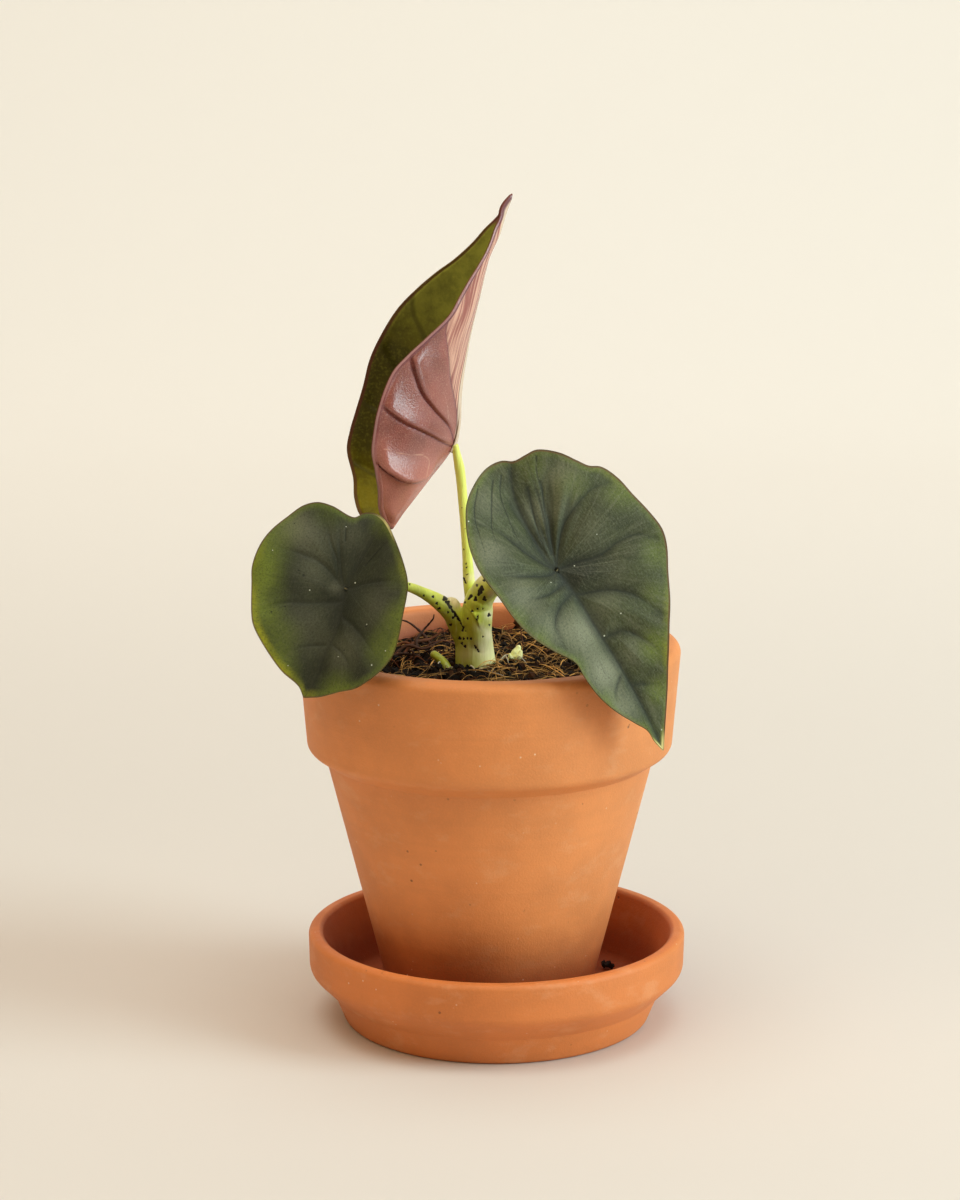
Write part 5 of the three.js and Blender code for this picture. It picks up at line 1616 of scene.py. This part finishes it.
class PLANT_OT_stems(PlantOperator, bpy.types.Operator):
    """Build the stem with its sheaths and the three leaf stalks that rise from it"""

    bl_idname = "plant.stems"
    bl_label = "Stem and leaf stalks"

    def execute(self, context):
        settings = context.scene.plant_stem
        points, faces, normals = blended([stalk_mesh(**part) for part in STEM_PARTS], grain=0.26, rounds=5)
        dark = marks_on(points, normals, LOOSE_MARKS, np.random.default_rng(settings.seed))
        fields = {"dark_mark": dark, "pale_and_lit_skin": pale_and_lit_skin(points)}
        finish = stalk_skin("stalk_skin", settings, pale_height=0.115)
        piece = make_piece("stem_and_stalks", with_seams(points, normals), faces, [finish], fields)
        stand_for(piece, "stem", "stem_base", "petiole_left", "petiole_right", "petiole_upper")
        return {"FINISHED"}


class PLANT_OT_grown_blades(PlantOperator, bpy.types.Operator):
    """Build the two grown shield leaves"""

    bl_idname = "plant.grown_blades"
    bl_label = "Grown leaves"

    def execute(self, context):
        leaf = context.scene.plant_leaf
        back = leaf_back("grown_leaf_back", tuple(leaf.back), tone(150, 142, 104))
        for side in ("left", "right"):
            shape = BLADES[f"blade_{side}"]
            finishes = [leaf_face(f"{side}_leaf_face", leaf, shape), back]
            piece = grown_blade(f"leaf_{side}", shape, finishes, leaf.vein_depth * 1000)
            stand_for(piece, "blade_grown", f"blade_{side}")
        return {"FINISHED"}


class PLANT_OT_young_blade(PlantOperator, bpy.types.Operator):
    """Build the youngest leaf, still half shut"""

    bl_idname = "plant.young_blade"
    bl_label = "Youngest leaf"

    def execute(self, context):
        settings = context.scene.plant_young_leaf
        piece = young_blade([young_inside(settings), young_underside(settings)])
        stand_for(piece, "blade_young", "blade_upper")
        return {"FINISHED"}


class PLANT_OT_shoots(PlantOperator, bpy.types.Operator):
    """Build the side shoot and the root bud"""

    bl_idname = "plant.shoots"
    bl_label = "Shoot and bud"

    def execute(self, context):
        stem = context.scene.plant_stem
        green = stalk_skin("shoot_skin", stem, pale_height=0.06)
        pale = stalk_skin("bud_skin", stem, pale_height=0.106)
        stand_for(make_piece("green_shoot", *stalk_mesh(**SIDE_SHOOT), [green]), "shoot", "side_shoot")
        knobs = [stalk_mesh(points, radii, 24, 20, dome=True) for points, radii in ROOT_BUD]
        points, faces, _ = blended(knobs, grain=0.16, rounds=3)
        stand_for(make_piece("cream_bud", points, faces, [pale]), "bud", "root_bud")
        return {"FINISHED"}


class PLANT_OT_fallen_crumb(PlantOperator, bpy.types.Operator):
    """Build the crumb of mix that lies in the saucer"""

    bl_idname = "plant.fallen_crumb"
    bl_label = "Fallen crumb"

    def execute(self, context):
        rng = np.random.default_rng(5)
        low, high = (np.array(corner) * 1000 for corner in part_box("saucer_crumb"))
        parts = []
        for shift in ((-0.9, 0, -0.1), (0.5, 0.3, 0), (1.3, -0.4, -0.3), (0, -0.6, 0.1)):
            points, faces = lump(rng, 1.25)
            parts.append((np.clip(points + (low + high) / 2 + np.array(shift), low, high), faces))
        shade = bare(context.scene.plant_soil.peat, 0.4)
        finish = shaded("fallen_peat", shade, tone(60, 38, 24), scale=900, gloss=0.3)
        piece = loose_bits("fallen_crumb", finish, parts, [0.3] * len(parts), crease=30)
        stand_for(piece, "potting_mix", "saucer_crumb")
        return {"FINISHED"}


# Each light's place, what it points at, its width and height, all in metres, and its colour.
LIGHTS = {
    "key": ((1.31, -0.42, 0.64), (0, 0, 0.16), (0.7, 1.1), (0.745, 0.95, 1)),
    "fill": ((-0.45, -0.7, 1.5), (0, 0, 0.1), (2, 2), (1, 0.83, 0.53)),
    "overhead": ((0, -0.25, 2.1), (0, 0, 0.08), (2, 2), (0.94, 0.96, 1)),
}
ROOM_LIGHT = (1.0, 0.74, 0.45, 1)
CAMERA_PLACE = (-0.00475, -0.90766, 0.31799)
CAMERA_LENS = 98.23


def add_light(name, power):
    place, target, size, shade = LIGHTS[name]
    data = bpy.data.lights.new(name, "AREA")
    data.shape = "RECTANGLE"
    data.size, data.size_y = size
    data.energy = power
    data.color = shade
    lamp = bpy.data.objects.new(name, data)
    lamp.location = place
    lamp.rotation_euler = (Vector(target) - Vector(place)).to_track_quat("-Z", "Y").to_euler()
    bpy.context.scene.collection.objects.link(lamp)


def add_camera(scene):
    data = bpy.data.cameras.new("camera")
    data.lens = CAMERA_LENS
    data.sensor_width = 36
    data.clip_end = 20
    camera = bpy.data.objects.new("camera", data)
    camera.location = CAMERA_PLACE
    camera.rotation_euler = (math.pi / 2 - CAMERA_TILT, 0, 0)
    scene.collection.objects.link(camera)
    scene.camera = camera


def paper_finish(stage):
    """Matte paper that grows paler and glows faintly where it sweeps up behind, both as painted light."""
    paper = Shader("paper", {"Roughness": 0.9, "Specular IOR Level": 0.1})
    sweep = paper.fade(paper.axis(paper.place(), "Y"), 0.05, 1.1)
    paper.set(Base_Color=paper.mix(sweep, tuple(stage.paper), tuple(stage.wall)))
    # Painted light: the sweep glows, though it is no lamp.
    paper.set(Emission_Color=paper.mix(sweep, (0, 0, 0), tone(246, 238, 234)), Emission_Strength=0.11)
    return paper.material


def backdrop(finish):
    """Paper that lies on the floor and sweeps up behind."""
    front, bend, radius, top, half_width = -1400, 900, 700, 2600, 2600
    angles = np.linspace(0, math.pi / 2, 25)
    profile = [(bend + radius * math.sin(angle), radius * (1 - math.cos(angle))) for angle in angles]
    profile = [(front, 0), *profile, (bend + radius, top)]
    points = [(side, y, z) for y, z in profile for side in (-half_width, half_width)]
    faces = [[2 * k, 2 * k + 1, 2 * k + 3, 2 * k + 2] for k in range(len(profile) - 1)]
    return make_piece("paper_backdrop", points, faces, [finish])


class PLANT_OT_stage(PlantOperator, bpy.types.Operator):
    """Set the pale paper, the soft lights and the camera"""

    bl_idname = "plant.stage"
    bl_label = "Stage"

    def execute(self, context):
        stage = context.scene.plant_stage
        backdrop(paper_finish(stage))
        world = bpy.data.worlds.new("studio")
        world.use_nodes = True
        sky = world.node_tree.nodes["Background"]
        sky.inputs["Color"].default_value = ROOM_LIGHT
        sky.inputs["Strength"].default_value = stage.fill
        context.scene.world = world
        add_light("key", stage.key)
        add_light("fill", stage.side)
        add_light("overhead", stage.overhead)
        context.scene.view_settings.view_transform = "Standard"
        add_camera(context.scene)
        return {"FINISHED"}


OPERATORS = (
    PLANT_OT_saucer,
    PLANT_OT_pot,
    PLANT_OT_mix,
    PLANT_OT_stems,
    PLANT_OT_grown_blades,
    PLANT_OT_young_blade,
    PLANT_OT_shoots,
    PLANT_OT_fallen_crumb,
    PLANT_OT_stage,
)


class PLANT_PT_panel(bpy.types.Panel):
    """Lists the pieces of the potted plant"""

    bl_label = "Potted plant"
    bl_space_type = "VIEW_3D"
    bl_region_type = "UI"
    bl_category = "Plant"

    def draw(self, context):
        for operator in OPERATORS:
            self.layout.operator(operator.bl_idname)
        for key in SETTINGS:
            box = self.layout.box()
            settings = getattr(context.scene, key)
            for name in settings.__annotations__:
                box.prop(settings, name)


def register():
    for settings in SETTINGS.values():
        bpy.utils.register_class(settings)
    for operator in OPERATORS:
        bpy.utils.register_class(operator)
    bpy.utils.register_class(PLANT_PT_panel)
    for key, settings in SETTINGS.items():
        setattr(bpy.types.Scene, key, PointerProperty(type=settings))


def unregister():
    for key in SETTINGS:
        delattr(bpy.types.Scene, key)
    bpy.utils.unregister_class(PLANT_PT_panel)
    for operator in reversed(OPERATORS):
        bpy.utils.unregister_class(operator)
    for settings in SETTINGS.values():
        bpy.utils.unregister_class(settings)


def main():
    register()
    bpy.ops.plant.saucer()
    bpy.ops.plant.pot()
    bpy.ops.plant.mix()
    bpy.ops.plant.stems()
    bpy.ops.plant.grown_blades()
    bpy.ops.plant.young_blade()
    bpy.ops.plant.shoots()
    bpy.ops.plant.fallen_crumb()
    bpy.ops.plant.stage()


if __name__ == "__main__":
    main()
